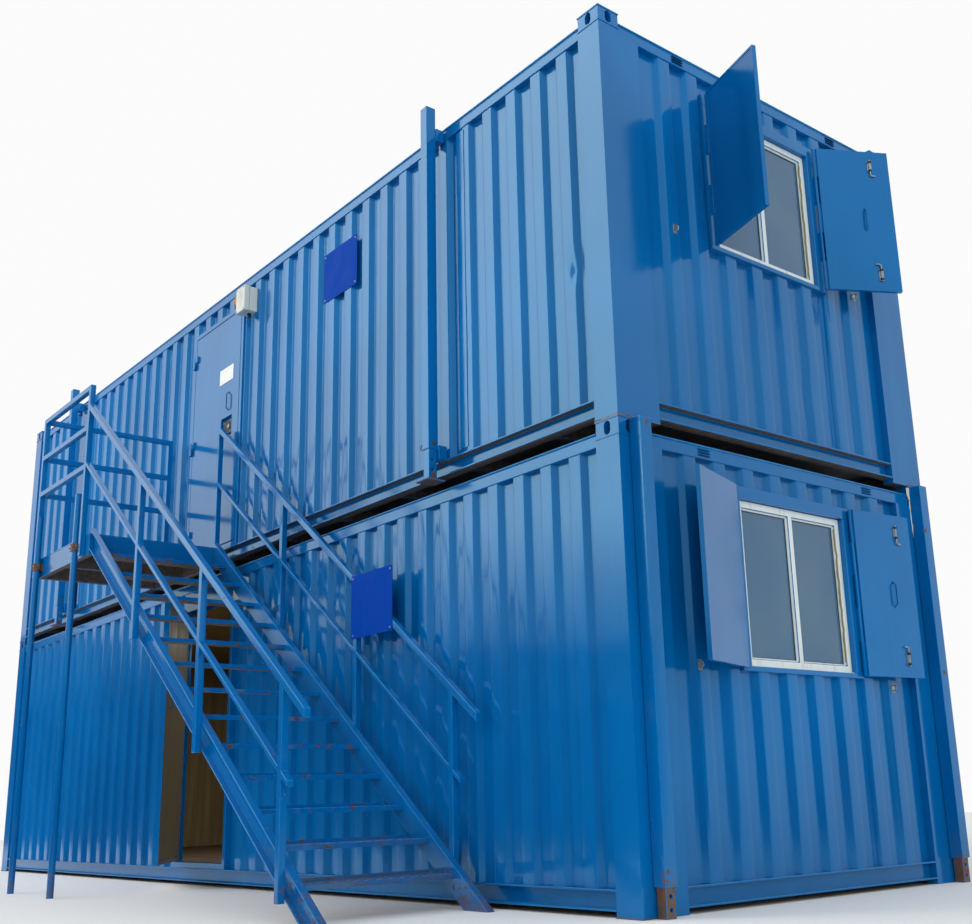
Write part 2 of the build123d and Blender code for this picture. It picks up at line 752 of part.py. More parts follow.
# Stringers: channels with their flanges turned away from the treads
with BuildPart() as stair_stringers:
    head_x = landing_edge
    toe_x = first_nosing + (riser + stringer_above_nosing) / slope
    stringer_drop = stringer_depth / cos(radians(slope_angle))
    flange_drop = stringer_web / cos(radians(slope_angle))
    foot_low = toe_x - stringer_drop / slope
    for y_web, y_edge in ((y_outer_web, y_stair_outer), (y_inner_web, y_stair_inner)):
        outward = (y_edge - y_web) / abs(y_edge - y_web)
        with BuildSketch(Plane.XZ.offset(-y_web)):
            with BuildLine():
                Polyline(
                    (toe_x, 0),
                    (head_x, nosing_height(head_x) + stringer_above_nosing),
                    (head_x, nosing_height(head_x) + stringer_above_nosing - stringer_drop),
                    (foot_low, 0),
                    close=True,
                )
            make_face()
        extrude(amount=-outward * stringer_web)
        for drop in (0, stringer_drop - flange_drop):
            base_x = toe_x - drop / slope
            with BuildSketch(Plane.XZ.offset(-y_web)):
                with BuildLine():
                    Polyline(
                        (base_x, 0),
                        (head_x, nosing_height(head_x) + stringer_above_nosing - drop),
                        (head_x, nosing_height(head_x) + stringer_above_nosing - drop - flange_drop),
                        (base_x - flange_drop / slope, 0),
                        close=True,
                    )
                make_face()
            extrude(amount=-outward * stringer_flange)
keep(stair_stringers.part, "stair_stringers")

# Treads: plates between the stringer webs, folded down in front and up behind
with BuildPart() as stair_treads:
    for step in range(riser_count - 1):
        front = first_nosing - step * going
        top = riser * (step + 1)
        with BuildSketch(Plane.XZ.offset(-y_outer_web)):
            with BuildLine():
                Polyline(
                    (front, top),
                    (front - tread_depth + tread_plate, top),
                    (front - tread_depth + tread_plate, top + tread_upstand),
                    (front - tread_depth, top + tread_upstand),
                    (front - tread_depth, top - tread_plate),
                    (front - tread_plate, top - tread_plate),
                    (front - tread_plate, top - tread_lip),
                    (front, top - tread_lip),
                    close=True,
                )
            make_face()
        extrude(amount=-(y_inner_web - y_outer_web))
keep(stair_treads.part, "stair_treads")

# Landing: channel beams round the edge, a joist, cleats to the cabin, and the deck
deck_bottom = landing_level - deck_plate
with BuildPart() as landing_frame:
    with BuildSketch(Plane.XY.offset(deck_bottom - landing_beam_depth)):
        with Locations(((landing_edge + landing_end) / 2, (y_stair_outer + y_stair_inner) / 2)):
            Rectangle(landing_length, y_stair_inner - y_stair_outer)
            with GridLocations(landing_length / 2 - stringer_flange / 2, 0, 2, 1):
                Rectangle(
                    landing_length / 2 - stringer_flange * 3 / 2,
                    y_stair_inner - y_stair_outer - 2 * stringer_flange,
                    mode=Mode.SUBTRACT,
                )
    extrude(amount=landing_beam_depth)
    for x_cleat in (landing_edge - landing_cleat_inset, landing_end + landing_cleat_inset):
        add(
            block(
                (x_cleat - landing_cleat_width / 2, y_stair_inner, deck_bottom - landing_cleat_height),
                (x_cleat + landing_cleat_width / 2, y_front, deck_bottom),
            )
        )
keep(landing_frame.part, "landing_frame")
keep(
    block((landing_end, y_stair_outer, deck_bottom), (landing_edge, y_stair_inner, landing_level)),
    "landing_deck",
)

# Stair handrails: a top rail and a thin middle rail on posts outside the stringers
post_foot = stringer_depth / cos(radians(slope_angle)) - stringer_above_nosing + post_drop
for side, y_rail in (("outer", y_outer_rail), ("inner", y_inner_rail)):
    with BuildPart() as handrail:
        rail_end = first_nosing + handrail_overhang
        rail_head = landing_edge - landing_post_inset
        with BuildSketch(Plane.XZ.offset(-(y_rail + rail_tube))):
            for height, end, section in (
                (handrail_height, rail_end, rail_tube),
                (mid_rail_height, first_nosing, mid_rail_tube),
            ):
                rail_drop = section / cos(radians(slope_angle))
                with BuildLine():
                    Polyline(*slanted_bar(end, rail_head, -height, rail_drop), close=True)
                make_face()
            for share in post_setback_share:
                post_x = first_nosing + (landing_edge - first_nosing) * share
                post_low = max(0, nosing_height(post_x) - post_foot)
                with BuildLine():
                    Polyline(
                        (post_x, post_low),
                        (post_x - rail_tube, post_low),
                        (post_x - rail_tube, nosing_height(post_x - rail_tube) + handrail_height),
                        (post_x, nosing_height(post_x) + handrail_height),
                        close=True,
                    )
                make_face()
            head_low = landing_level - deck_plate - landing_beam_depth
            head_top = landing_level + guard_height
            if side == "inner":
                head_top = nosing_height(rail_head) + handrail_height
            with Locations((rail_head - rail_tube / 2, (head_low + head_top) / 2)):
                Rectangle(rail_tube, head_top - head_low)
        extrude(amount=rail_tube)
    keep(handrail.part, f"stair_handrail_{side}")

# Guardrail round the outer side and the far end of the landing
with BuildPart() as landing_guardrail:
    guard_levels = [landing_level + guard_height - rail_tube / 2]
    guard_levels += [landing_level + guard_height * share for share in guard_rail_heights_share]
    corner_x = landing_end + rail_tube / 2
    corner_y = y_outer_rail + rail_tube / 2
    end_y = y_inner_rail + rail_tube / 2
    join_x = landing_edge - landing_post_inset - rail_tube
    guard_low = landing_level - deck_plate - landing_beam_depth
    with BuildSketch(Plane.XY.offset(guard_low)):
        with Locations((corner_x, corner_y), (corner_x, end_y)):
            Rectangle(rail_tube, rail_tube)
    extrude(amount=landing_level + guard_height - guard_low)
    for guard_z in guard_levels:
        with BuildSketch(Plane.XY.offset(guard_z - rail_tube / 2)):
            with Locations(((corner_x + join_x) / 2, corner_y)):
                Rectangle(join_x - corner_x, rail_tube)
            with Locations((corner_x, (corner_y + end_y) / 2)):
                Rectangle(rail_tube, end_y - corner_y)
        extrude(amount=rail_tube)
keep(landing_guardrail.part, "landing_guardrail")

# Scaffold tubes that carry the outer side of the landing, with their couplers
with BuildPart() as scaffold_legs:
    y_tube = y_stair_outer - coupler_stand - scaffold_radius
    coupler_z = deck_bottom - landing_beam_depth / 2 - coupler_height / 2
    for x_tube in (landing_end + scaffold_inset, landing_edge - scaffold_inner_inset):
        with BuildSketch(Plane.XY):
            with Locations((x_tube, y_tube)):
                Circle(scaffold_radius)
        extrude(amount=landing_level + scaffold_above)
        with BuildSketch(Plane.XY.offset(coupler_z)):
            with Locations((x_tube, y_tube)):
                Circle(coupler_radius)
            with Locations((x_tube, (y_tube + y_stair_outer) / 2)):
                Rectangle(coupler_radius * 2, y_stair_outer - y_tube)
        extrude(amount=coupler_height)
keep(scaffold_legs.part, "scaffold_legs")

# Supply boxes on the front walls
with BuildPart() as supply_boxes:
    upper_box_x = doorway_near + upper_box_side_gap
    upper_box_top = cabin_height + doorway_top + upper_box_rise
    add(
        block(
            (upper_box_x, wall_y - upper_box_depth, upper_box_top - upper_box_height),
            (upper_box_x + upper_box_width, wall_y, upper_box_top),
        )
    )
    lower_box_x = doorway_near + lower_box_side_gap
    lower_box_top = doorway_top + lower_box_rise
    add(
        block(
            (lower_box_x, wall_y - lower_box_depth, lower_box_top - lower_box_height),
            (lower_box_x + lower_box_width, wall_y, lower_box_top),
        )
    )
keep(supply_boxes.part, "supply_boxes")
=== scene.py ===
"""Looks of the two stacked site cabins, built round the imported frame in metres."""

import json
from math import cos, exp, pi, radians, sin

import bmesh
import bpy
from mathutils import Matrix, Vector, noise


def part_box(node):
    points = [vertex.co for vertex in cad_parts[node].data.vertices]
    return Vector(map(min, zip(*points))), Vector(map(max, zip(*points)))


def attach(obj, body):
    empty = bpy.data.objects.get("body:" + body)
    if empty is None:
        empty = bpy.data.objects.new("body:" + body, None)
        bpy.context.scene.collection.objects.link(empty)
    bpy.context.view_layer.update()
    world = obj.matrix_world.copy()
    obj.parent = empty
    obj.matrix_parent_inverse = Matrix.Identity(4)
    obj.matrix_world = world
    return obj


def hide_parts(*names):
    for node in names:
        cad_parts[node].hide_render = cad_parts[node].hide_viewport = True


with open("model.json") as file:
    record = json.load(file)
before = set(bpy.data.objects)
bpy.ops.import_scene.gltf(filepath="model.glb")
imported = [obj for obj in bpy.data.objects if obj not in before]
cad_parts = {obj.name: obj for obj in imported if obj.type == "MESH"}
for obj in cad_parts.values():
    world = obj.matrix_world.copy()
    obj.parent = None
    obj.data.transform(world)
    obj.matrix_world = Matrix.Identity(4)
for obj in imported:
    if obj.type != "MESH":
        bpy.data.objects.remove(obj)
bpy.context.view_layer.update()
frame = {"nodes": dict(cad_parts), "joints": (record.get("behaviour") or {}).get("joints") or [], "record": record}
NODES = frame["nodes"]
RECORD = frame["record"]
BODY_OF = {node: body for body, nodes in RECORD["behaviour"]["bodies"].items() for node in nodes}
SLOT_OF = {part["node"]: part["material_slot"] for part in RECORD["subparts"]}
JOINT_OF = {joint["child"]: joint for joint in frame["joints"]}

# Main places, read from the frame
RAILS_LOW, RAILS_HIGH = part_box("lower_top_rails")
X_FAR, Y_FRONT = RAILS_LOW.x, RAILS_LOW.y
X_NEAR, Y_BACK = RAILS_HIGH.x, RAILS_HIGH.y
Y_MID = (Y_FRONT + Y_BACK) / 2
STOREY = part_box("lower_corner_posts")[1].z
LEVELS = {"lower": 0.0, "upper": STOREY}
ROOT = "cabins"

# Camera, solved from the photo's 972 by 924 frame
PHOTO_WIDTH, PHOTO_HEIGHT = 972, 924
FOCAL_PIXELS = 1175.67
PRINCIPAL_PIXEL = (542.46, 487.05)
CAMERA_FROM_CORNER = Vector((4.103, -4.0066, 0.5469))
CAMERA_RIGHT = Vector((0.64073, 0.76713, -0.03109))
CAMERA_FORWARD = Vector((-0.73646, 0.62555, 0.25753))
SENSOR_WIDTH = 36


def rgb(red, green, blue):
    """A display colour, 0 to 255 a channel, as the linear colour that shaders take."""
    def linear(value):
        share = value / 255
        return share / 12.92 if share <= 0.04045 else ((share + 0.055) / 1.055) ** 2.4
    return (linear(red), linear(green), linear(blue), 1.0)


PAINT_DEEP = rgb(0, 92, 158)
PAINT_MID = rgb(0, 106, 177)
PAINT_FADED = rgb(10, 122, 186)
PAINT_PALE = rgb(44, 148, 198)
SHEEN_TINT = (0.36, 0.84, 1.0, 1)
DUST = rgb(128, 122, 106)
MUD = rgb(92, 82, 64)
RUST_DARK = rgb(64, 38, 26)
RUST_LIGHT = rgb(136, 80, 44)
# Black-browns of the undersides: partly bitumen, partly painted shade
BARE_STEEL = rgb(112, 116, 116)
UNDERSIDE_BITUMEN_AND_SHADE = rgb(76, 70, 67)
UNDERSIDE_BROWN_BITUMEN_AND_SHADE = rgb(112, 92, 78)
ZINC_LIGHT = rgb(176, 180, 180)
ZINC_DARK = rgb(118, 124, 127)
WHITE_FRAME = rgb(226, 229, 228)
FRAME_DIRT = rgb(168, 160, 126)
BOARD = rgb(176, 158, 122)
BOARD_SHADE = rgb(150, 132, 98)
# The lining board's tones darkened as painted shade, for the doors' inner faces
DOOR_BOARD_PAINTED_SHADE = rgb(122, 111, 88)
DOOR_BOARD_DARK_PAINTED_SHADE = rgb(104, 93, 70)
FLOOR_BROWN = rgb(92, 72, 54)
BOX_WHITE = rgb(212, 214, 206)
SIGN_NAVY = rgb(0, 66, 168)
# Black of rubber gaskets and seals, also painted shade in the vent slits
GASKET_AND_SLIT_SHADE = rgb(24, 25, 26)
AMBER = rgb(222, 136, 22)
NOTICE = rgb(236, 237, 233)
SEALANT = rgb(150, 128, 66)
PACKING_WHITE = rgb(220, 214, 196)


class Tree:
    """A node tree, with short calls for the nodes used here."""

    def __init__(self, owner):
        owner.use_nodes = True
        self.tree = owner.node_tree
        self.tree.nodes.clear()

    def node(self, kind):
        """A new node of a kind."""
        return self.tree.nodes.new(f"ShaderNode{kind}")

    def put(self, socket, value):
        """Link a socket, or set a plain value on it."""
        if isinstance(value, bpy.types.NodeSocket):
            self.tree.links.new(value, socket)
        else:
            socket.default_value = value

    def band(self, value, start, end, low=0.0, high=1.0):
        """A smooth step of a value from low at start to high at end."""
        node = self.node("MapRange")
        node.interpolation_type = "SMOOTHSTEP"
        for key, number in zip(("Value", "From Min", "From Max", "To Min", "To Max"),
                               (value, start, end, low, high)):
            self.put(node.inputs[key], number)
        return node.outputs[0]

    def math(self, operation, first, second=0.0):
        """One arithmetic step."""
        node = self.node("Math")
        node.operation = operation
        self.put(node.inputs[0], first)
        self.put(node.inputs[1], second)
        return node.outputs[0]

    def part(self, vector, name):
        """One component of a vector."""
        node = self.node("SeparateXYZ")
        self.put(node.inputs[0], vector)
        return node.outputs[name]


class Graph(Tree):
    """One material's node tree round its main shader."""

    def __init__(self, name):
        self.material = bpy.data.materials.new(name)
        super().__init__(self.material)
        self.shader = self.node("BsdfPrincipled")
        self.put(self.node("OutputMaterial").inputs[0], self.shader.outputs[0])
        self.place = self.node("TexCoord").outputs["Object"]

    def set(self, **values):
        """Set sockets of the main shader by their names in lower case."""
        for key, value in values.items():
            self.put(self.shader.inputs[key.replace("_", " ").title().replace("Ior", "IOR")], value)

    def stretched(self, scale):
        """Object coordinates, scaled along each axis."""
        mapping = self.node("Mapping")
        self.put(mapping.inputs["Vector"], self.place)
        mapping.inputs["Scale"].default_value = scale
        return mapping.outputs[0]

    def noise(self, scale, detail=4.0, stretch=(1, 1, 1), distortion=0.0):
        """Fractal noise from 0 to 1."""
        node = self.node("TexNoise")
        self.put(node.inputs["Vector"], self.stretched(stretch))
        node.inputs["Scale"].default_value = scale
        node.inputs["Detail"].default_value = detail
        node.inputs["Distortion"].default_value = distortion
        return node.outputs[0]

    def cells(self, scale, stretch=(1, 1, 1)):
        """Distance to the nearest scattered point."""
        node = self.node("TexVoronoi")
        self.put(node.inputs["Vector"], self.stretched(stretch))
        node.inputs["Scale"].default_value = scale
        return node.outputs["Distance"]

    def mix(self, share, first, second):
        """A blend of two colours."""
        node = self.node("Mix")
        node.data_type = "RGBA"
        self.put(node.inputs["Factor"], share)
        self.put(node.inputs[6], first)
        self.put(node.inputs[7], second)
        return node.outputs[2]

    def axis(self, name):
        """One of the object coordinates."""
        return self.part(self.place, name)

    def facing(self, name):
        """One component of the surface's true normal."""
        return self.part(self.node("NewGeometry").outputs["True Normal"], name)

    def bump(self, height, strength, depth, under=None):
        """Relief from a height value, on top of other relief."""
        node = self.node("Bump")
        node.inputs["Strength"].default_value = strength
        node.inputs["Distance"].default_value = depth
        self.put(node.inputs["Height"], height)
        if under:
            self.put(node.inputs["Normal"], under)
        return node.outputs[0]


def paint(name, fade=0.35, chips=0.0, grime=0.3, foot_rust=0.0, foot_height=0.35, tread_wear=0.0):
    """Gloss site paint on steel: fading, rain streaks, dust low down, chips and rust."""
    g = Graph(name)
    colour = g.mix(g.band(g.noise(0.55, 3), 0.35, 0.68), PAINT_DEEP, PAINT_MID)
    streaks = g.noise(1.0, 6, (7, 7, 0.22))
    runs = g.noise(1.0, 5, (26, 26, 0.5))
    colour = g.mix(g.band(streaks, 0.48, 0.78, 0, fade), colour, PAINT_FADED)
    colour = g.mix(g.band(runs, 0.58, 0.86, 0, 0.6 * fade), colour, PAINT_PALE)
    colour = g.mix(g.band(g.noise(5, 6, (1, 1, 0.6)), 0.56, 0.8, 0, 0.45 * grime), colour, DUST)
    height = g.axis("Z")
    low = g.band(g.math("ADD", height, g.band(g.noise(6, 5), 0.3, 0.7, -0.12, 0.12)), 0.5, 0.0)
    colour = g.mix(g.math("MULTIPLY", low, 0.5 * grime), colour, MUD)
    spots = g.noise(19, 7, distortion=0.6)
    rust_tone = g.mix(g.noise(34, 5), RUST_DARK, RUST_LIGHT)
    chipped = g.band(spots, 0.72 - 0.1 * chips, 0.75 - 0.1 * chips)
    foot = g.band(g.math("ADD", height, g.band(spots, 0.25, 0.75, -0.2, 0.2)), foot_height, 0.2 * foot_height)
    worn = g.math("MULTIPLY", g.band(g.facing("Z"), 0.5, 0.9), g.band(g.noise(9, 6, (1, 0.45, 1)), 0.4, 0.62))
    chipped = g.math("MULTIPLY", chipped, 1.0 if chips else 0.0)
    rusted = g.math("MAXIMUM", g.math("MULTIPLY", foot, foot_rust), g.math("MULTIPLY", worn, tread_wear))
    bare = g.math("MAXIMUM", chipped, rusted)
    colour = g.mix(bare, colour, rust_tone)
    rough = g.band(g.noise(3.5, 5), 0.3, 0.75, 0.08, 0.17)
    rough = g.math("MAXIMUM", rough, g.math("MULTIPLY", bare, 0.75))
    peel = g.bump(g.noise(140, 2), 0.035, 0.002)
    relief = g.bump(bare, -0.25, 0.002, g.bump(g.noise(1.6, 2, (1, 1, 0.4)), 0.06, 0.02, peel))
    g.set(base_color=colour, roughness=rough, normal=relief, ior=1.5, specular_tint=SHEEN_TINT)
    g.set(specular_ior_level=0.65)
    return g.material


def worn_edge(name):
    """Paint along folded edges: rubbed paler, with small chips down to rust."""
    g = Graph(name)
    rubbed = g.band(g.noise(14, 5), 0.35, 0.7)
    colour = g.mix(rubbed, PAINT_MID, PAINT_FADED)
    chipped = g.band(g.noise(30, 6, distortion=0.5), 0.74, 0.79)
    colour = g.mix(chipped, colour, g.mix(g.noise(50), RUST_DARK, RUST_LIGHT))
    g.set(base_color=colour, roughness=g.band(chipped, 0, 1, 0.25, 0.8), specular_tint=SHEEN_TINT)
    g.set(normal=g.bump(g.noise(120, 3), 0.08, 0.002))
    return g.material


def dark_underside(name):
    """Black-brown steel and timber under the floors, the treads and the landing: partly bitumen, partly painted
    shade where they lie in shadow.
    """
    g = Graph(name)
    boards = g.band(g.math("PINGPONG", g.axis("X"), 0.1), 0.0, 0.006)
    grain = g.noise(2.5, 6, (0.6, 14, 14))
    colour = g.mix(g.band(grain, 0.35, 0.7), UNDERSIDE_BITUMEN_AND_SHADE, UNDERSIDE_BROWN_BITUMEN_AND_SHADE)
    colour = g.mix(g.band(g.noise(11, 6), 0.62, 0.78, 0, 0.6), colour, RUST_DARK)
    colour = g.mix(boards, UNDERSIDE_BITUMEN_AND_SHADE, colour)
    relief = g.bump(boards, 0.5, 0.004, g.bump(grain, 0.25, 0.003))
    g.set(base_color=colour, roughness=0.82, normal=relief)
    return g.material


def rusty_steel(name, bare=0.5):
    """Unpainted steel with rust and dirt."""
    g = Graph(name)
    patches = g.band(g.noise(13, 7, distortion=0.8), 0.38, 0.66)
    rust = g.mix(g.noise(46, 5), RUST_DARK, RUST_LIGHT)
    steel = g.mix(g.noise(80, 3), BARE_STEEL, DUST)
    colour = g.mix(patches, g.mix(bare, rust, steel), rust)
    g.set(base_color=colour, roughness=g.band(patches, 0, 1, 0.45, 0.85), normal=g.bump(patches, 0.4, 0.002))
    g.set(metallic=g.band(patches, 0, 1, 0.6, 0.0))
    return g.material


def zinc(name):
    """Galvanised steel with its spangle and a few light rust spots."""
    g = Graph(name)
    spangle = g.cells(160)
    colour = g.mix(g.band(spangle, 0.1, 0.7), ZINC_DARK, ZINC_LIGHT)
    colour = g.mix(g.band(g.noise(28, 5), 0.6, 0.8, 0, 0.25), colour, RUST_LIGHT)
    g.set(base_color=colour, roughness=g.band(spangle, 0.1, 0.7, 0.28, 0.48), metallic=0.85)
    g.set(normal=g.bump(spangle, 0.06, 0.001))
    return g.material


def white_profile(name):
    """White window profile with yellowed dirt in runs and specks of dust."""
    g = Graph(name)
    runs = g.noise(1.0, 6, (30, 30, 2.2))
    colour = g.mix(g.band(runs, 0.5, 0.8, 0, 0.55), WHITE_FRAME, FRAME_DIRT)
    colour = g.mix(g.band(g.noise(70, 4), 0.66, 0.8, 0, 0.5), colour, DUST)
    g.set(base_color=colour, roughness=g.band(runs, 0.3, 0.8, 0.3, 0.5))
    g.set(normal=g.bump(g.noise(200, 2), 0.03, 0.001))
    return g.material


def pane(name):
    """Sheet glass with a film of site dust; its pale blue colour is a painted sky reflection."""
    g = Graph(name)
    film = g.band(g.noise(2.4, 6, (1, 1, 0.7)), 0.35, 0.75)
    # Pale blues as painted sky reflection, paler in patches where the dust film lies
    g.set(base_color=g.mix(film, rgb(90, 146, 190), rgb(112, 158, 192)))
    g.set(roughness=g.band(g.noise(6, 4), 0.35, 0.7, 0.015, 0.07))
    g.set(transmission_weight=0.6)
    return g.material


def lining(name, tone, shade):
    """Beige faced board with a faint grain and scuffs."""
    g = Graph(name)
    grain = g.noise(1.4, 7, (9, 9, 0.5))
    colour = g.mix(g.band(grain, 0.35, 0.7), shade, tone)
    colour = g.mix(g.band(g.noise(9, 6, (1, 1, 0.3)), 0.64, 0.8, 0, 0.5), colour, MUD)
    g.set(base_color=colour, roughness=g.band(grain, 0.3, 0.7, 0.42, 0.6), normal=g.bump(grain, 0.06, 0.002))
    return g.material


def floor_board(name):
    """Worn brown floor board, black on its underside: partly bitumen, partly painted shade."""
    g = Graph(name)
    grain = g.noise(1.6, 7, (0.5, 10, 10))
    colour = g.mix(g.band(grain, 0.3, 0.7), FLOOR_BROWN, MUD)
    colour = g.mix(g.band(g.noise(3, 6), 0.5, 0.75, 0, 0.6), colour, DUST)
    # Faces turned down are black-brown, partly bitumen, partly painted shade
    under = g.band(g.facing("Z"), -0.4, -0.6)
    joints = g.band(g.math("PINGPONG", g.axis("X"), 0.09), 0.0, 0.005)
    black = g.mix(joints, UNDERSIDE_BITUMEN_AND_SHADE, g.mix(g.band(grain, 0.4, 0.65), UNDERSIDE_BITUMEN_AND_SHADE, UNDERSIDE_BROWN_BITUMEN_AND_SHADE))
    g.set(base_color=g.mix(under, colour, black), roughness=g.band(grain, 0.3, 0.7, 0.5, 0.75))
    g.set(normal=g.bump(grain, 0.15, 0.003))
    return g.material


def moulded(name, tone, dirt=0.4, rough=0.45):
    """Moulded plastic with a fine texture, a little sun fade and grime."""
    g = Graph(name)
    colour = g.mix(g.band(g.noise(9, 5, (1, 1, 0.5)), 0.5, 0.8, 0, dirt), tone, DUST)
    g.set(base_color=colour, roughness=g.band(g.noise(30, 4), 0.3, 0.7, rough - 0.07, rough + 0.1))
    g.set(normal=g.bump(g.noise(420, 2), 0.05, 0.001))
    return g.material


def sign_face(name):
    """Bare navy sign plate with faint scratches and a film of dust."""
    g = Graph(name)
    scratches = g.band(g.noise(2.0, 8, (40, 40, 3)), 0.66, 0.72, 0, 0.12)
    colour = g.mix(scratches, SIGN_NAVY, PAINT_PALE)
    g.set(base_color=colour, roughness=g.band(g.noise(7, 4), 0.3, 0.7, 0.4, 0.55))
    g.set(specular_ior_level=0.02)
    g.set(normal=g.bump(g.noise(160, 2), 0.02, 0.001))
    return g.material


def pale_floor(name):
    """Plain pale studio floor."""
    g = Graph(name)
    g.set(base_color=g.mix(g.noise(0.4, 2), (0.92, 0.87, 0.855, 1), (0.94, 0.89, 0.875, 1)), roughness=0.85)
    g.set(specular_ior_level=0.1)
    return g.material


MATERIALS = {
    "wall": paint("wall_paint", fade=0.22, grime=0.03),
    "frame": paint("frame_paint", fade=0.18, grime=0.03),
    "foot": paint("foot_paint", fade=0.2, chips=0.3, grime=0.3, foot_rust=0.9, foot_height=0.13),
    "shutter": paint("shutter_paint", fade=0.1, grime=0.05),
    "stair": paint("stair_paint", fade=0.2, chips=0.3, grime=0.25, foot_rust=0.5, foot_height=0.08),
    "tread": paint("tread_paint", fade=0.3, chips=0.7, grime=0.6, tread_wear=0.6),
    "roof": paint("roof_paint", fade=0.5, chips=0.2, grime=0.9),
    "nosing": paint("nosing_paint", fade=0.5, chips=1.2, grime=1.4),
    "edge": worn_edge("edge_paint"),
    "underside": dark_underside("bitumen_and_painted_shade_underside"),
    "rust": rusty_steel("rusted_steel"),
    "zinc": zinc("galvanised"),
    "white": white_profile("window_white"),
    "glass": pane("dusty_glass_painted_sky"),
    "lining": lining("lining_board", BOARD, BOARD_SHADE),
    "door_board_painted_shade": lining("door_board_painted_shade", DOOR_BOARD_PAINTED_SHADE, DOOR_BOARD_DARK_PAINTED_SHADE),
    "floor": floor_board("floor_board"),
    "box": moulded("box_plastic", BOX_WHITE),
    "amber": moulded("amber_plastic", AMBER, 0.15, 0.35),
    "black": moulded("black_rubber_and_slit_shade", GASKET_AND_SLIT_SHADE, 0.06, 0.6),
    "notice": moulded("notice_plate", NOTICE, 0.2, 0.4),
    "packing": moulded("white_packing", PACKING_WHITE, 0.5, 0.7),
    "sealant": moulded("old_sealant", SEALANT, 0.5, 0.6),
    "sign": sign_face("sign_navy"),
}


def near(x, y, z):
    """A point given from the ground under the near front corner."""
    return Vector((X_NEAR + x, Y_FRONT + y, z))


def placed(name, data):
    """A new object in the scene."""
    item = bpy.data.objects.new(name, data)
    bpy.context.scene.collection.objects.link(item)
    return item


def finish_object(name, bm, materials, body, slot, sharp_angle=32, even=True):
    """Turn a bmesh into a named piece that rides on a body."""
    mesh = bpy.data.meshes.new(name)
    bm.to_mesh(mesh)
    bm.free()
    for key in materials:
        mesh.materials.append(MATERIALS[key])
    mesh.polygons.foreach_set("use_smooth", [True] * len(mesh.polygons))
    mesh.set_sharp_from_angle(angle=radians(sharp_angle))
    piece = placed(name, mesh)
    if even:
        piece.modifiers.new("even_faces", "WEIGHTED_NORMAL").keep_sharp = True
    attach(piece, body)
    return piece


def rounded_box(bm, low, high, radius, material=0, segments=2):
    """A box with rounded edges between two corners."""
    low, high = Vector(low), Vector(high)
    made = bmesh.ops.create_cube(bm, size=1)["verts"]
    size = high - low
    for vert in made:
        vert.co = Vector(a * b for a, b in zip(vert.co, size)) + (low + high) / 2
    faces = {face for vert in made for face in vert.link_faces}
    edges = list({edge for vert in made for edge in vert.link_edges})
    result = bmesh.ops.bevel(bm, geom=edges, offset=min(radius, 0.45 * min(size)), segments=segments,
                             profile=0.5, affect="EDGES")
    touched = set(result["faces"]) | {face for face in faces if face.is_valid}
    verts = {vert for face in touched for vert in face.verts}
    for face in {face for vert in verts for face in vert.link_faces}:
        face.material_index = material


def block(bm, middle, low, high, radius, material=0):
    """A rounded box whose corners are given from a middle point."""
    rounded_box(bm, middle + Vector(low), middle + Vector(high), radius, material)


def turns(count):
    """Equal steps of angle round a circle."""
    return [2 * pi * step / count for step in range(count)]


def skirt(bm, first, second, material=0):
    """Faces between two rings of points."""
    for side in range(len(first)):
        after = (side + 1) % len(first)
        bm.faces.new((first[side], first[after], second[after], second[side])).material_index = material


def sweep(bm, points, radius, sides=10, material=0, closed=False):
    """A round bar along a line of points, with flat ends unless it is closed."""
    points = [Vector(point) for point in points]
    count = len(points)
    rings = []
    normal = None
    for index, point in enumerate(points):
        after = points[(index + 1) % count] if closed or index + 1 < count else point
        before = points[index - 1] if closed or index else point
        along = (after - before).normalized()
        if normal is None:
            normal = along.orthogonal().normalized()
        normal = (normal - along * normal.dot(along)).normalized()
        across = along.cross(normal)
        rings.append([
            bm.verts.new(point + radius * (cos(turn) * normal + sin(turn) * across))
            for turn in turns(sides)
        ])
    pairs = list(zip(rings, rings[1:])) + ([(rings[-1], rings[0])] if closed else [])
    for first, second in pairs:
        skirt(bm, first, second, material)
    if not closed:
        bm.faces.new(reversed(rings[0])).material_index = material
        bm.faces.new(rings[-1]).material_index = material


def stud(bm, place, outward, foot_radius, head_radius, length, sides, material=0):
    """A tapered round or many-sided stud that stands on a place."""
    turn = Vector((0, 0, 1)).rotation_difference(Vector(outward)).to_matrix().to_4x4()
    spot = Matrix.Translation(Vector(place)) @ turn @ Matrix.Translation((0, 0, length / 2))
    made = bmesh.ops.create_cone(bm, cap_ends=True, segments=sides, radius1=foot_radius,
                                 radius2=head_radius, depth=length, matrix=spot)["verts"]
    for face in {face for vert in made for face in vert.link_faces}:
        face.material_index = material


def bolt(bm, place, outward, radius, material=0):
    """A hexagon head on a washer."""
    outward = Vector(outward)
    stud(bm, place, outward, 1.7 * radius, 1.6 * radius, 0.25 * radius, 16, material)
    seat = Vector(place) + 0.25 * radius * outward
    stud(bm, seat, outward, radius, 0.9 * radius, 0.75 * radius, 6, material)


def window_ring(bm, x_span, outer, inner, radius, material=0):
    """Four bars between an outer and an inner rectangle in the plane of an end wall."""
    (y_start, z_foot), (y_end, z_head) = outer
    (y_in, z_in), (y_out, z_out) = inner
    bars = ((y_start, z_foot, y_end, z_in), (y_start, z_out, y_end, z_head),
            (y_start, z_in, y_in, z_out), (y_out, z_in, y_end, z_out))
    for y_low, z_low, y_high, z_high in bars:
        rounded_box(bm, (x_span[0], y_low, z_low), (x_span[1], y_high, z_high), radius, material)


def rest_turn(body):
    """How a piece built shut is turned to where its body stands at rest."""
    joint = JOINT_OF[body]
    pivot = Matrix.Translation(Vector(joint["pos_m"]))
    swing = Matrix.Rotation(radians(-joint["range_deg"][0]), 4, Vector(joint["axis"]))
    return pivot @ swing @ pivot.inverted()


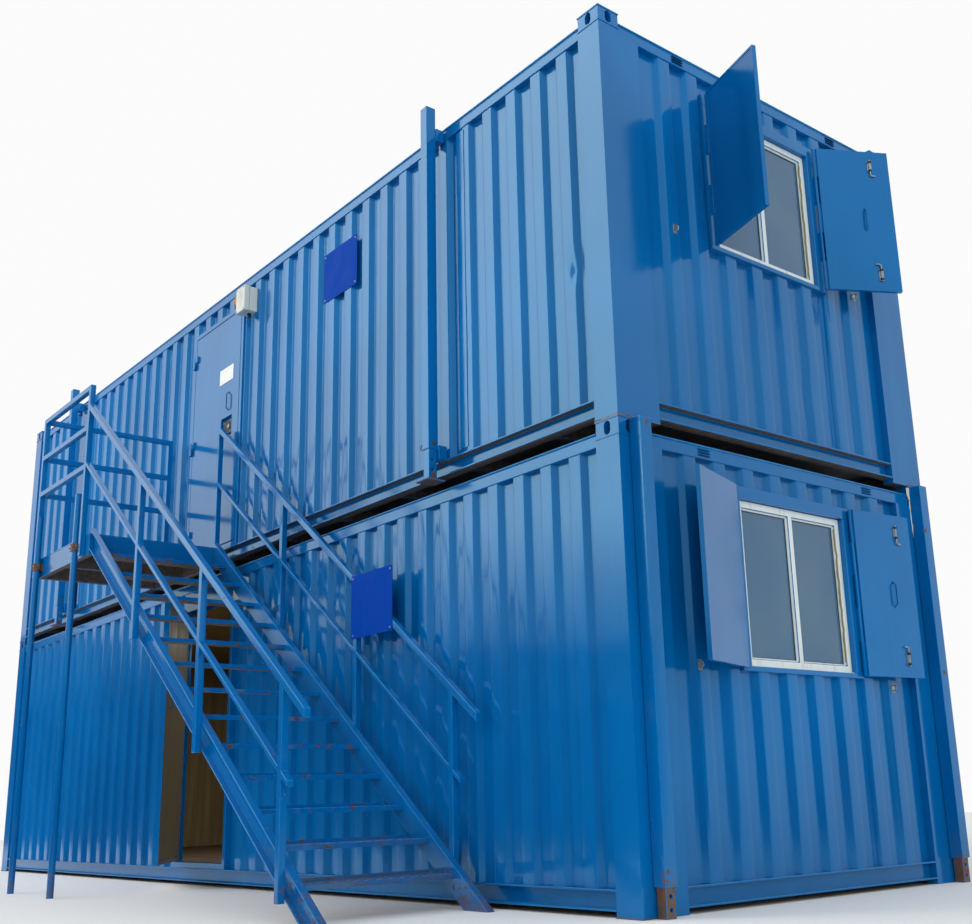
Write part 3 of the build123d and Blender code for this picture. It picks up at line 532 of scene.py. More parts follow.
def skin(node, materials, edge_width, choose=None, segments=2):
    """A copy of a node with rounded, rubbed edges that stands for it."""
    bm = bmesh.new()
    bm.from_mesh(NODES[node].data)
    bmesh.ops.remove_doubles(bm, verts=bm.verts, dist=1e-5)
    bmesh.ops.dissolve_limit(bm, angle_limit=radians(1), verts=bm.verts, edges=bm.edges)
    bm.normal_update()
    for face in bm.faces:
        face.material_index = choose(face.calc_center_median(), face.normal) if choose else 0
    sharp = [edge for edge in bm.edges if len(edge.link_faces) == 2 and edge.calc_face_angle(0) > radians(28)]
    rubbed = len(materials)
    bmesh.ops.bevel(bm, geom=sharp, offset=edge_width, segments=segments, profile=0.6, affect="EDGES",
                    clamp_overlap=True, material=rubbed)
    piece = finish_object(f"{node}_skin", bm, [*materials, "edge"], BODY_OF[node], SLOT_OF[node], 40)
    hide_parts(node)


# Ribbed walls, rebuilt as pressed sheet with soft bends, ripples and dents

BEND = 0.005
SHEET_STEP = 0.032
RIPPLE = 0.0022
EDGE_FADE = 0.1


def rib_line(node, along, outward):
    """The crest and valley line of a wall, read off the top of its node."""
    corners = [vert.co for vert in NODES[node].data.vertices]
    top = max(co.z for co in corners)
    line = {(round(co.dot(along), 5), round(co.dot(outward), 5)) for co in corners if top - co.z < 1e-4}
    core = min(depth for _, depth in line)
    return [Vector(point) for point in sorted(point for point in line if point[1] > core + 1e-4)], core


def soft_bends(line):
    """The same line with each corner rounded and its flats divided."""
    points = [line[0]]
    for before, corner, after in zip(line, line[1:], line[2:]):
        back, ahead = before - corner, after - corner
        reach = min(BEND, 0.4 * back.length, 0.4 * ahead.length)
        first = corner + back.normalized() * reach
        last = corner + ahead.normalized() * reach
        for share in (0.0, 0.33, 0.67, 1.0):
            points.append(first.lerp(corner, share).lerp(corner.lerp(last, share), share))
    points.append(line[-1])
    divided = []
    for first, second in zip(points, points[1:]):
        steps = max(1, round((second - first).length / SHEET_STEP))
        divided += [first.lerp(second, step / steps) for step in range(steps)]
    return [*divided, points[-1]]


def between(line, start, end):
    """The stretch of a line from start to end, with points put in at both."""
    def at(place):
        for first, second in zip(line, line[1:]):
            if first.x <= place <= second.x and second.x > first.x:
                return first.lerp(second, (place - first.x) / (second.x - first.x))
        return (line[0] if place <= line[0].x else line[-1]).copy()
    inner = [point for point in line if start + 1e-4 < point.x < end - 1e-4]
    return [at(start), *inner, at(end)]


def sheet_panel(bm, line, core, low, high, along, outward, row_step, dents, whole):
    """One closed panel of ribbed sheet, with ripples and dents that fade out at the wall's rim."""
    rows = max(2, round((high - low) / row_step))
    heights = [low + (high - low) * row / rows for row in range(rows + 1)]
    left, right, bottom, top = whole
    grid = []
    for height in heights:
        ring = []
        for point in line:
            rim = min(point.x - left, right - point.x, height - bottom, top - height)
            free = min(1.0, max(0.0, rim / EDGE_FADE))
            wave = noise.noise(Vector((0.8 * point.x, 0.55 * height, 3.1)))
            wave += 0.4 * noise.noise(Vector((4.0 * point.x, 1.3 * height, 8.7)))
            push = RIPPLE * wave
            for place, level, width, tall, deep in dents:
                push -= deep * exp(-((point.x - place) / width) ** 2 - ((height - level) / tall) ** 2)
            depth = point.y + free * push
            ring.append(bm.verts.new(along * point.x + outward * depth + Vector((0, 0, height))))
        grid.append(ring)
    flip = along.cross(Vector((0, 0, 1))).dot(outward) < 0
    def face(*corners):
        bm.faces.new(reversed(corners) if flip else corners)
    for lower, upper in zip(grid, grid[1:]):
        for a, b, c, d in zip(lower, lower[1:], upper[1:], upper):
            face(a, b, c, d)
    rim = grid[0] + [row[-1] for row in grid[1:]] + grid[-1][-2::-1] + [row[0] for row in grid[-2:0:-1]]
    back = []
    for vert in rim:
        back.append(bm.verts.new(vert.co + outward * (core - vert.co.dot(outward))))
    for index, vert in enumerate(rim):
        after = (index + 1) % len(rim)
        face(rim[after], vert, back[index], back[after])
    face(*reversed(back))


def ribbed_wall(node, along, outward, row_step, hole=None, dents=()):
    """Stand a wall of pressed sheet in a node's place, round a hole if it has one."""
    along, outward = Vector(along), Vector(outward)
    line, core = rib_line(node, along, outward)
    line = soft_bends(line)
    low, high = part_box(node)
    left, right = line[0].x, line[-1].x
    whole = (left, right, low.z, high.z)
    if hole:
        start, end, sill, head = hole
        panels = [(left, start, low.z, high.z), (end, right, low.z, high.z), (start, end, head, high.z)]
        if sill > low.z:
            panels.append((start, end, low.z, sill))
    else:
        panels = [whole]
    bm = bmesh.new()
    for start, end, bottom, top in panels:
        sheet_panel(bm, between(line, start, end), core, bottom, top, along, outward, row_step, dents, whole)
    bmesh.ops.recalc_face_normals(bm, faces=bm.faces)
    piece = finish_object(f"{node}_sheet", bm, ["wall"], BODY_OF[node], SLOT_OF[node], 50, False)
    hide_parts(node)


FINE_ROWS, PLAIN_ROWS = 0.05, 0.2
# Dents: place along the wall, height, half width, half height, depth
CORNER_DENTS = (
    (X_NEAR - 0.303, STOREY + 0.92, 0.03, 0.07, 0.018),
    (X_NEAR - 0.33, STOREY + 1.0, 0.06, 0.05, 0.008),
    (X_NEAR - 0.42, STOREY + 0.5, 0.12, 0.2, 0.004),
)
END_DENTS = (
    (Y_FRONT + 1.7, STOREY + 0.46, 0.16, 0.12, 0.007),
    (Y_FRONT + 1.1, STOREY + 0.62, 0.2, 0.15, 0.005),
)


# How far in from a frame's rim its webs lie, and the widths of rounded edges
RAIL_WEB_DEPTH, BEAM_WEB_DEPTH = 0.055, 0.004
RAIL_EDGE, WIDE_EDGE, PLAIN_EDGE = 0.0025, 0.004, 0.003
THIN_EDGE, FINE_EDGE, TREAD_EDGE = 0.002, 0.001, 0.0015
# Heights over a storey's foot below which legs and foot plates are bare steel
LOWER_LEG_BARE, UPPER_LEG_BARE, PLATE_TOP = 0.139, 0.03, 0.0105


def walls():
    """All the ribbed walls of both cabins, and the boxed window surrounds."""
    for cabin in LEVELS:
        ribbed_wall(f"{cabin}_back_wall", (-1, 0, 0), (0, 1, 0), PLAIN_ROWS)
        ribbed_wall(f"{cabin}_far_end_wall", (0, -1, 0), (-1, 0, 0), PLAIN_ROWS)
        window_wall(cabin)
    for node in ("lower_front_wall_near", "lower_front_wall_far"):
        ribbed_wall(node, (1, 0, 0), (0, -1, 0), FINE_ROWS)
    door_low, door_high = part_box("upper_door_frame")
    wall_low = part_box("upper_front_wall")[0].z
    ribbed_wall("upper_front_wall", (1, 0, 0), (0, -1, 0), FINE_ROWS,
                (door_low.x, door_high.x, wall_low, door_high.z), CORNER_DENTS)
    skin("lower_front_wall_over_door", ["frame"], PLAIN_EDGE)


def window_wall(cabin):
    """Ribbed end wall round a boxed surround, with the surround's ring."""
    node = f"{cabin}_window_wall"
    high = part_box(node)[1]
    proud = [vert.co for vert in NODES[node].data.vertices if high.x - vert.co.x < 1e-4]
    start, end = min(co.y for co in proud), max(co.y for co in proud)
    sill, head = min(co.z for co in proud), max(co.z for co in proud)
    ribbed_wall(node, (0, 1, 0), (1, 0, 0), FINE_ROWS, (start, end, sill, head),
                END_DENTS if cabin == "upper" else ())
    frame_low, frame_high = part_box(f"{cabin}_window_frame")
    depth = high.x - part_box(node)[0].x
    bm = bmesh.new()
    window_ring(bm, (high.x - depth, high.x), ((start, sill), (end, head)),
                ((frame_low.y, frame_low.z), (frame_high.y, frame_high.z)), 0.003)
    finish_object(f"{cabin}_window_surround", bm, ["frame"], ROOT, "blue_paint")


def frames():
    """Rails, posts, frames, legs, floors and roofs of both cabins."""
    def rail_choice(cabin):
        low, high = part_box(f"{cabin}_base_frame")
        def choose(centre, normal):
            depth = min(centre.x - low.x, high.x - centre.x, centre.y - low.y, high.y - centre.y)
            # Faces turned down and the rails' inner faces take the underside's painted shade
            return 1 if normal.z < -0.5 or depth > RAIL_WEB_DEPTH and normal.z < 0.5 else 0
        return choose
    for cabin in LEVELS:
        skin(f"{cabin}_base_frame", ["frame", "underside"], RAIL_EDGE, rail_choice(cabin))
        skin(f"{cabin}_corner_posts", ["frame", "rust"], WIDE_EDGE, plate_choice(cabin))
        skin(f"{cabin}_top_rails", ["frame"], WIDE_EDGE)
        skin(f"{cabin}_door_frame", ["frame"], PLAIN_EDGE)
        roof_sheet(f"{cabin}_roof")
        NODES[f"{cabin}_floor"].data.materials[0] = MATERIALS["floor"]
        NODES[f"{cabin}_lining"].data.materials[0] = MATERIALS["lining"]
        NODES[f"{cabin}_window_glass"].data.materials[0] = MATERIALS["glass"]
        skin(f"{cabin}_window_frame", ["white"], WIDE_EDGE)
    for node, colour, bare in (("lower_jack_legs", "foot", LOWER_LEG_BARE),
                               ("upper_jack_legs", "frame", STOREY + UPPER_LEG_BARE)):
        skin(node, [colour, "rust"], WIDE_EDGE, lambda centre, normal: 1 if centre.z < bare else 0)
    skin("wall_fittings", ["shutter"], FINE_EDGE, segments=1)


ROOF_PITCH, ROOF_CREST, ROOF_FLANK, ROOF_RISE = 0.24, 0.1, 0.03, 0.014


def roof_sheet(node):
    """Roof of sheet pressed with low ribs from side to side."""
    low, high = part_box(node)
    count = int((high.x - low.x - ROOF_PITCH) / ROOF_PITCH)
    first = (low.x + high.x - (count - 1) * ROOF_PITCH) / 2
    line = [Vector((low.x, high.z))]
    for rank in range(count):
        middle = first + rank * ROOF_PITCH
        for reach, rise in ((-1, 0), (-1, 1), (1, 1), (1, 0)):
            side = reach * (ROOF_CREST / 2 + (0 if rise else ROOF_FLANK))
            line.append(Vector((middle + side, high.z + rise * ROOF_RISE)))
    line = soft_bends([*line, Vector((high.x, high.z))])
    bm = bmesh.new()
    loops = [[bm.verts.new((point.x, y, point.y)) for point in line]
             + [bm.verts.new((x, y, low.z)) for x in (high.x, low.x)] for y in (low.y, high.y)]
    skirt(bm, *loops)
    for loop in loops:
        bm.faces.new(loop)
    bmesh.ops.recalc_face_normals(bm, faces=bm.faces)
    piece = finish_object(f"{node}_sheet", bm, ["roof"], ROOT, SLOT_OF[node], 50, False)
    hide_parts(node)


def plate_choice(cabin):
    """Rust on the thin faces of the foot plates and under them."""
    level = LEVELS[cabin]
    def choose(centre, normal):
        return 1 if centre.z < level + PLATE_TOP and normal.z < 0.5 else 0
    return choose


def doors_and_shutters():
    """Leaves with rounded edges, lined inside, and their bolts in zinc."""
    turn = rest_turn("lower_door_leaf").inverted().to_3x3()
    for node, back in (("lower_door", turn), ("upper_door", Matrix.Identity(3))):
        # Inner faces take the lining board in painted shade
        skin(node, ["frame", "door_board_painted_shade"], PLAIN_EDGE,
             lambda centre, normal: 1 if (back @ normal).y > 0.9 else 0)
    for cabin in LEVELS:
        for side in ("left", "right"):
            skin(f"{cabin}_shutter_{side}", ["shutter", "zinc"], THIN_EDGE, bolt_choice(cabin, side))
        shutter_bolts(cabin)


# Bolts on the inner faces of the right shutters, placed with the shutter shut
SHUTTER_HALF, SHUTTER_HEIGHT = 0.013, 1.0
MEETING_EDGE, BOLT_INSET = 0.004, 0.135
BOLT_ENDS = ((0.066, 0.182, 1), (0.934, 0.818, -1))
BOLT_ROD, BOLT_TAIL, BOLT_STAND = 0.005, 0.032, 0.009


def bolt_choice(cabin, side):
    """Zinc for the bolts' bodies on a right shutter, paint for the rest."""
    body = f"{cabin}_{side}_shutter"
    back = rest_turn(body).inverted()
    inner_x = JOINT_OF[body]["pos_m"][0] - SHUTTER_HALF
    bolt_y = Y_MID + MEETING_EDGE + BOLT_INSET
    def choose(centre, normal):
        shut = back @ centre
        return 1 if side == "right" and shut.x < inner_x - 0.001 and abs(shut.y - bolt_y) < 0.02 else 0
    return choose


def shutter_bolts(cabin):
    """Zinc rods with bent tails, and the straps that hold them."""
    body = f"{cabin}_right_shutter"
    pivot = Vector(JOINT_OF[body]["pos_m"])
    rod_x = pivot.x - SHUTTER_HALF - BOLT_STAND
    bolt_y = Y_MID + MEETING_EDGE + BOLT_INSET
    bm = bmesh.new()
    for tip, tail, way in BOLT_ENDS:
        tip_z, tail_z = (pivot.z + SHUTTER_HEIGHT * share for share in (tip, tail))
        sweep(bm, [(rod_x, bolt_y, tip_z), (rod_x, bolt_y, tail_z - 0.008 * way),
                   (rod_x, bolt_y + 0.003 * way, tail_z - 0.002 * way), (rod_x, bolt_y + 0.01 * way, tail_z),
                   (rod_x, bolt_y + BOLT_TAIL * way, tail_z)], BOLT_ROD, 12)
        for share in (0.12, 0.66):
            strap_z = tip_z + share * (tail_z - tip_z)
            rounded_box(bm, (rod_x - 0.007, bolt_y - 0.011, strap_z - 0.007),
                        (rod_x + BOLT_STAND, bolt_y + 0.011, strap_z + 0.007), 0.003, 1)
    bmesh.ops.transform(bm, matrix=rest_turn(body), verts=bm.verts)
    finish_object(f"{cabin}_shutter_bolts", bm, ["zinc", "black"], body, "blue_paint")


MULLION, BEAD, GASKET_LIP, STILE = 0.04, 0.008, 0.004, 0.012
BEAD_PROUD, GASKET_PROUD = 0.009, 0.003


def window_trim(cabin):
    """Glazing beads, rubber gaskets, the sliding sash's stile and old sealant on a window."""
    low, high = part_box(f"{cabin}_window_frame")
    glass_low, glass_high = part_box(f"{cabin}_window_glass")
    bar = MULLION / 2
    bm = bmesh.new()
    for start, end in ((glass_low.y, Y_MID - bar), (Y_MID + bar, glass_high.y)):
        rim = ((start, glass_low.z), (end, glass_high.z))
        for width, proud, material in ((BEAD, BEAD_PROUD, 0), (BEAD + GASKET_LIP, GASKET_PROUD, 1)):
            inner = ((start + width, glass_low.z + width), (end - width, glass_high.z - width))
            window_ring(bm, (glass_high.x, glass_high.x + proud), rim, inner, 0.002, material)
    stile = Y_MID - bar - STILE
    rounded_box(bm, (glass_low.x - 0.03, stile - 0.03, glass_low.z),
                (glass_low.x - 0.003, stile, glass_high.z), 0.004)
    rounded_box(bm, (low.x + 0.01, low.y, low.z - 0.012), (high.x + 0.016, high.y, low.z + 0.006), 0.003)
    line = []
    for rank in range(40):
        height = glass_low.z + 0.02 + rank / 39 * (glass_high.z - glass_low.z - 0.04)
        sway = 0.004 * noise.noise(Vector((rank * 0.37, 5.0 * LEVELS[cabin], 2.0)))
        line.append((high.x - 0.004 + sway, glass_high.y + 0.001 + sway, height))
    sweep(bm, line, 0.0055, 6, 2)
    finish_object(f"{cabin}_window_trim", bm, ["white", "black", "sealant"], ROOT, "white_frame")

VENTS, VENT_HEIGHT, VENT_WIDTH = (0.645, 2.13), 2.3495, 0.09
LOUVRE_PITCH, LOUVRE_HEIGHT, LOUVRE_REACH, RAIL_RECESS = 0.016, 0.011, 0.009, 0.009
EYES, EYE_DEPTH = ((0.541, 3.659), (2.226, 3.686), (0.511, 1.196), (2.203, 1.134)), 0.015


def end_wall_details():
    """Louvred vents in the end rails, and hold-back eyes for the shutters."""
    bm = bmesh.new()
    for level in LEVELS.values():
        for across in VENTS:
            for rank in range(3):
                louvre(bm, near(-RAIL_RECESS, across, level + VENT_HEIGHT + (rank - 1) * LOUVRE_PITCH))
    bmesh.ops.recalc_face_normals(bm, faces=bm.faces)
    finish_object("end_rail_vents", bm, ["frame", "black"], ROOT, "blue_paint", even=False)
    bm = bmesh.new()
    for across, height in EYES:
        foot = near(-EYE_DEPTH, across, height)
        block(bm, foot, (-0.001, -0.016, -0.028), (0.003, 0.016, 0.028), 0.0015)
        ring = [foot + Vector((0.004 + 0.022 * sin(turn), 0, 0.016 * cos(turn)))
                for turn in (pi * step / 8 for step in range(9))]
        sweep(bm, ring, 0.004, 8)
        for rise in (-0.021, 0.021):
            bolt(bm, foot + Vector((0.003, 0, rise)), (1, 0, 0), 0.0035)
    finish_object("hold_back_eyes", bm, ["zinc"], ROOT, "blue_paint")


def louvre(bm, middle):
    """One slit with a hood that opens downwards; the slit's opening and back are black, painted shade."""
    half, rise = Vector((0, VENT_WIDTH / 2, 0)), Vector((0, 0, LOUVRE_HEIGHT / 2))
    out = Vector((LOUVRE_REACH, 0, 0))
    corners = [bm.verts.new(middle + side * half + place)
               for side in (-1, 1) for place in (rise, out - rise, -rise)]
    top_a, lip_a, foot_a, top_b, lip_b, foot_b = corners
    for loop, material in (((top_a, lip_a, lip_b, top_b), 0), ((lip_a, foot_a, foot_b, lip_b), 1),
                           ((foot_a, top_a, top_b, foot_b), 1), ((top_a, foot_a, lip_a), 0),
                           ((top_b, lip_b, foot_b), 0)):
        bm.faces.new(loop).material_index = material

SIGN_THICK, SIGN_INSET = 0.004, 0.022
SIGNS = (
    ("upper_sign", -3.07, -2.6, 4.15, 4.54, "upper_front_wall"),
    ("lower_sign", -2.44, -1.96, 1.58, 1.99, "stair_handrail_inner"),
)


def signs():
    """Two bare sign plates, one on the upper wall and one on the inner handrail."""
    for name, start, end, foot, head, carrier in SIGNS:
        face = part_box(carrier)[0].y
        bm = bmesh.new()
        rounded_box(bm, (X_NEAR + start, face - SIGN_THICK, foot), (X_NEAR + end, face, head), 0.001)
        for x, z in ((start, foot), (start, head), (end, foot), (end, head)):
            inset_x = SIGN_INSET if x == start else -SIGN_INSET
            inset_z = SIGN_INSET if z == foot else -SIGN_INSET
            bolt(bm, (X_NEAR + x + inset_x, face - SIGN_THICK, z + inset_z), (0, -1, 0), 0.004, 1)
        finish_object(name, bm, ["sign", "zinc"], ROOT, "box_plastic")

LID_SHARE, LID_LIP, LID_GAP, LID_SCREW, SOCKET_SHARE = 0.42, 0.004, 0.002, 0.016, 0.56
# Socket's collar, rim and cap: start, radius at the foot and the head, length
SOCKET_RINGS = ((0.006, 0.025, 0.023, 0.03), (0.036, 0.028, 0.028, 0.008), (0.044, 0.024, 0.018, 0.008))


def supply_boxes():
    """Moulded boxes with a lid, screws and a gland, and a socket on the upper one."""
    corners = [vert.co for vert in NODES["supply_boxes"].data.vertices]
    bm = bmesh.new()
    for cabin, level in LEVELS.items():
        own = [co for co in corners if 0 < co.z - level < STOREY]
        low = Vector([min(co[axis] for co in own) for axis in range(3)])
        high = Vector([max(co[axis] for co in own) for axis in range(3)])
        seam = low.y + LID_SHARE * (high.y - low.y)
        inset = Vector((LID_LIP, 0, LID_LIP))
        rounded_box(bm, Vector((low.x, seam, low.z)) + inset, high - inset, 0.006)
        rounded_box(bm, low, (high.x, seam - LID_GAP, high.z), 0.007, 0, 3)
        for x in (low.x + LID_SCREW, high.x - LID_SCREW):
            for z in (low.z + LID_SCREW, high.z - LID_SCREW):
                stud(bm, (x, low.y + 0.0005, z), (0, -1, 0), 0.006, 0.005, 0.002, 16, 1)
        gland = Vector(((low.x + high.x) / 2, (seam + high.y) / 2, low.z + LID_LIP))
        for drop, radius, length, sides in ((0.0, 0.017, 0.012, 6), (0.012, 0.014, 0.016, 16)):
            stud(bm, gland - Vector((0, 0, drop)), (0, 0, -1), radius, 0.9 * radius, length, sides, 1)
        if cabin == "upper":
            socket(bm, Vector((low.x, (low.y + seam) / 2, low.z + SOCKET_SHARE * (high.z - low.z))))
    piece = finish_object("supply_box_mouldings", bm, ["box", "black", "amber"], ROOT, "box_plastic")
    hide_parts("supply_boxes")


def socket(bm, place):
    """An amber socket with a flange, a collar and a hinged cap."""
    block(bm, place, (-0.006, -0.03, -0.036), (0.002, 0.03, 0.036), 0.003, 2)
    for start, foot, head, length in SOCKET_RINGS:
        stud(bm, place - Vector((start, 0, 0)), (-1, 0, 0), foot, head, length, 24, 2)
    sweep(bm, [place + Vector((-0.04, turn, 0.03)) for turn in (-0.012, 0.012)], 0.004, 8, 1)

LOCK_INSET, LOCK_DEPTH, LOCK_HEIGHT = 0.215, 0.024, 1.17
NOTICE_LOW, NOTICE_HIGH = (-4.781, -0.003, 4.012), (-4.53, 0, 4.145)


def door_details():
    """Lock plates in the doors' pockets, and a bare notice on the upper door."""
    for cabin, body in (("lower", "lower_door_leaf"), ("upper", ROOT)):
        bm = bmesh.new()
        level = LEVELS[cabin]
        middle = Vector((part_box("upper_door")[1].x - LOCK_INSET, Y_FRONT + LOCK_DEPTH, level + LOCK_HEIGHT))
        block(bm, middle, (-0.075, -0.012, -0.06), (0.075, 0.004, 0.06), 0.004)
        stud(bm, middle + Vector((0.03, -0.012, 0)), (0, -1, 0), 0.016, 0.015, 0.008, 24, 1)
        block(bm, middle, (0.0285, -0.0215, -0.008), (0.0315, -0.018, 0.008), 0.001)
        for x in (-0.06, 0.06):
            for z in (-0.045, 0.045):
                bolt(bm, middle + Vector((x, -0.012, z)), (0, -1, 0), 0.004, 1)
        if cabin == "lower":
            bmesh.ops.transform(bm, matrix=rest_turn(body), verts=bm.verts)
        finish_object(f"{cabin}_door_lock", bm, ["black", "zinc"], body, "blue_paint")
    bm = bmesh.new()
    rounded_box(bm, near(*NOTICE_LOW), near(*NOTICE_HIGH), 0.001)
    finish_object("upper_door_notice", bm, ["notice"], ROOT, "box_plastic")


def stair():
    """Stringers, treads, landing, rails and tube supports."""
    for node, width in (("stair_stringers", PLAIN_EDGE), ("stair_handrail_outer", WIDE_EDGE),
                        ("stair_handrail_inner", WIDE_EDGE), ("landing_guardrail", WIDE_EDGE)):
        skin(node, ["stair"], width)
    low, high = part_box("landing_frame")
    # Tread and deck faces turned down take the underside's painted shade
    def plate_sides(centre, normal):
        if normal.z < -0.3:
            return 1
        return 0 if normal.z > 0.5 or normal.x < -0.5 else 2
    # Landing beam faces turned down or inward take the underside's painted shade
    def beam_sides(centre, normal):
        depth = min(centre.x - low.x, high.x - centre.x, centre.y - low.y)
        return 1 if normal.z < -0.5 or depth > BEAM_WEB_DEPTH and normal.z < 0.5 else 0
    skin("stair_treads", ["tread", "underside", "nosing"], TREAD_EDGE, plate_sides)
    skin("landing_deck", ["tread", "underside", "nosing"], THIN_EDGE, plate_sides)
    skin("landing_frame", ["stair", "underside"], PLAIN_EDGE, beam_sides)
    chequer_plates()
    scaffold()


LOZENGE_PITCH, LOZENGE_LONG, LOZENGE_WIDE, LOZENGE_RISE = 0.036, 0.013, 0.005, 0.0015


def chequer_plates():
    """Raised lozenges on the treads and the landing, each turned across its neighbours."""
    bm = bmesh.new()
    tops = {}
    for polygon in NODES["stair_treads"].data.polygons:
        if polygon.normal.z > 0.9:
            corners = [NODES["stair_treads"].data.vertices[index].co for index in polygon.vertices]
            tops.setdefault(round(corners[0].z, 4), []).extend(corners)
    plates = []
    for height, corners in tops.items():
        spans = [(min(co[axis] for co in corners), max(co[axis] for co in corners)) for axis in (0, 1)]
        if spans[0][1] - spans[0][0] > 0.1:
            plates.append((height, *spans))
    low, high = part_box("landing_deck")
    plates.append((high.z, (low.x, high.x), (low.y, high.y)))
    for height, (x_low, x_high), (y_low, y_high) in plates:
        columns = int((x_high - x_low - LOZENGE_PITCH) / LOZENGE_PITCH)
        rows = int((y_high - y_low - LOZENGE_PITCH) / LOZENGE_PITCH)
        x_first = x_low + x_high - columns * LOZENGE_PITCH
        y_first = y_low + y_high - rows * LOZENGE_PITCH
        for column in range(columns + 1):
            for row in range(rows + 1):
                middle = Vector((x_first, y_first, 0)) / 2
                middle += Vector((column * LOZENGE_PITCH, row * LOZENGE_PITCH, height))
                lozenge(bm, middle, (column + row) % 2)
    finish_object("chequer_lozenges", bm, ["tread"], ROOT, "blue_paint", even=False)


def lozenge(bm, middle, crossed):
    """One low lozenge with sloping sides."""
    along = Vector((1, 1, 0) if crossed else (1, -1, 0)).normalized()
    across = Vector((-along.y, along.x, 0))
    reach = (along * LOZENGE_LONG, across * LOZENGE_WIDE, -along * LOZENGE_LONG, -across * LOZENGE_WIDE)
    foot = [bm.verts.new(middle + side) for side in reach]
    head = [bm.verts.new(middle + 0.6 * side + Vector((0, 0, LOZENGE_RISE))) for side in reach]
    skirt(bm, foot, head)
    bm.faces.new(head)
    bm.faces.new(reversed(foot))


TUBE_RADIUS, TUBE_BORE, TUBE_SIDES = 0.024, 0.0205, 32
COUPLER_RADIUS, COUPLER_HEIGHT, COUPLER_GROOVE, COUPLER_RIM = 0.0335, 0.056, 0.003, 0.008
LANDING_CLAMP = 0.075


def scaffold():
    """Hollow tubes held to the landing by clamps with bolts."""
    mesh = NODES["scaffold_legs"].data
    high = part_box("scaffold_legs")[1]
    ends = [vert.co for vert in mesh.vertices if vert.co.z < 0.01]
    centre_y = max(co.y for co in ends) - TUBE_RADIUS
    feet = [co.x for co in ends]
    split = sum(feet) / len(feet)
    bm = bmesh.new()
    for group in ([x for x in feet if x < split], [x for x in feet if x > split]):
        centre = Vector(((min(group) + max(group)) / 2, centre_y, 0))
        hollow_tube(bm, centre, high.z)
        clamp = centre + Vector((0, 0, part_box("landing_frame")[0].z + LANDING_CLAMP))
        coupler(bm, clamp, high.y - centre_y)
    piece = finish_object("scaffold_tubes", bm, ["stair", "rust"], ROOT, "blue_paint")
    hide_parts("scaffold_legs")


def hollow_tube(bm, foot, height):
    """An open tube from the ground to a height."""
    loops = []
    for radius, level in ((TUBE_BORE, 0.002), (TUBE_RADIUS, 0.0), (TUBE_RADIUS, height), (TUBE_BORE, height),
                          (TUBE_BORE, height - 0.4)):
        loops.append([bm.verts.new(foot + Vector((radius * cos(turn), radius * sin(turn), level)))
                      for turn in turns(TUBE_SIDES)])
    for first, second in zip(loops, loops[1:]):
        skirt(bm, first, second)
    bm.faces.new(reversed(loops[0]))
    bm.faces.new(loops[-1])


def coupler(bm, middle, stand):
    """A clamp round a tube: a band, a saddle against the beam, and an eye bolt with its nut."""
    half = COUPLER_HEIGHT / 2
    band = COUPLER_RADIUS - COUPLER_GROOVE
    stud(bm, middle - Vector((0, 0, half)), (0, 0, 1), band, band, COUPLER_HEIGHT, 32, 1)
    for rise in (-half, half - COUPLER_RIM):
        stud(bm, middle + Vector((0, 0, rise)), (0, 0, 1), COUPLER_RADIUS, COUPLER_RADIUS, COUPLER_RIM, 32, 1)
    block(bm, middle, (-0.03, TUBE_RADIUS, -half), (0.03, stand, half), 0.004, 1)
    for side in (-1, 1):
        lug = middle + Vector((side * 0.034, 0, 0))
        block(bm, lug, (-0.014, -0.01, -0.02), (0.014, 0.01, 0.02), 0.003, 1)
        bolt(bm, lug + Vector((0, -0.01, 0)), (0, -1, 0), 0.009, 1)
        stud(bm, lug + Vector((0, -0.018, 0)), (0, -1, 0), 0.006, 0.005, 0.014, 12, 1)


PACKING_WIDTH, PACKING_LENGTH, PACKING_TOP, PACKING_CUT, STRIP_FOLDS = 0.05, 0.46, 2.43, 0.9, 48


def packing_strip():
    """A torn strip of white packing that hangs out of the joint between the cabins."""
    rows = []
    bm = bmesh.new()
    for row in range(STRIP_FOLDS + 1):
        share = row / STRIP_FOLDS
        torn = 1 + 0.2 * noise.noise(Vector((7.0 * share, 1.0, 4.0)))
        half = PACKING_WIDTH / 2 * (1 - 0.75 * share ** 3) * torn
        centre = near(0.006, 2.585 + 0.02 * share, PACKING_TOP - PACKING_LENGTH * share)
        twist = 0.7 * sin(5.5 * share) + 0.3 * noise.noise(Vector((9.0 * share, 2.0, 0.0)))
        across = Vector((abs(sin(twist)), cos(twist), 0))
        rows.append([bm.verts.new(centre + across * (half * (2 * step / 6 - 1) + half * abs(sin(twist)))
                                  + Vector((0.003 * (step % 2), 0, 0))) for step in range(7)])
    for upper, lower in zip(rows, rows[1:]):
        for step in range(6):
            bm.faces.new((upper[step], lower[step], lower[step + 1], upper[step + 1]))
    area = sum(face.calc_area() for face in bm.faces)
    piece = finish_object("packing_strip", bm, ["packing"], ROOT, "white_frame", 60, False)

SIDE_FOOT, PIN_RISE, PIN_REACH = 0.13, 0.215, 0.062
COVER_STRIPS, STRIP_WIDTH, STRIP_THICK, STRIP_ROWS = (-1.378, -8.168), 0.076, 0.004, 40


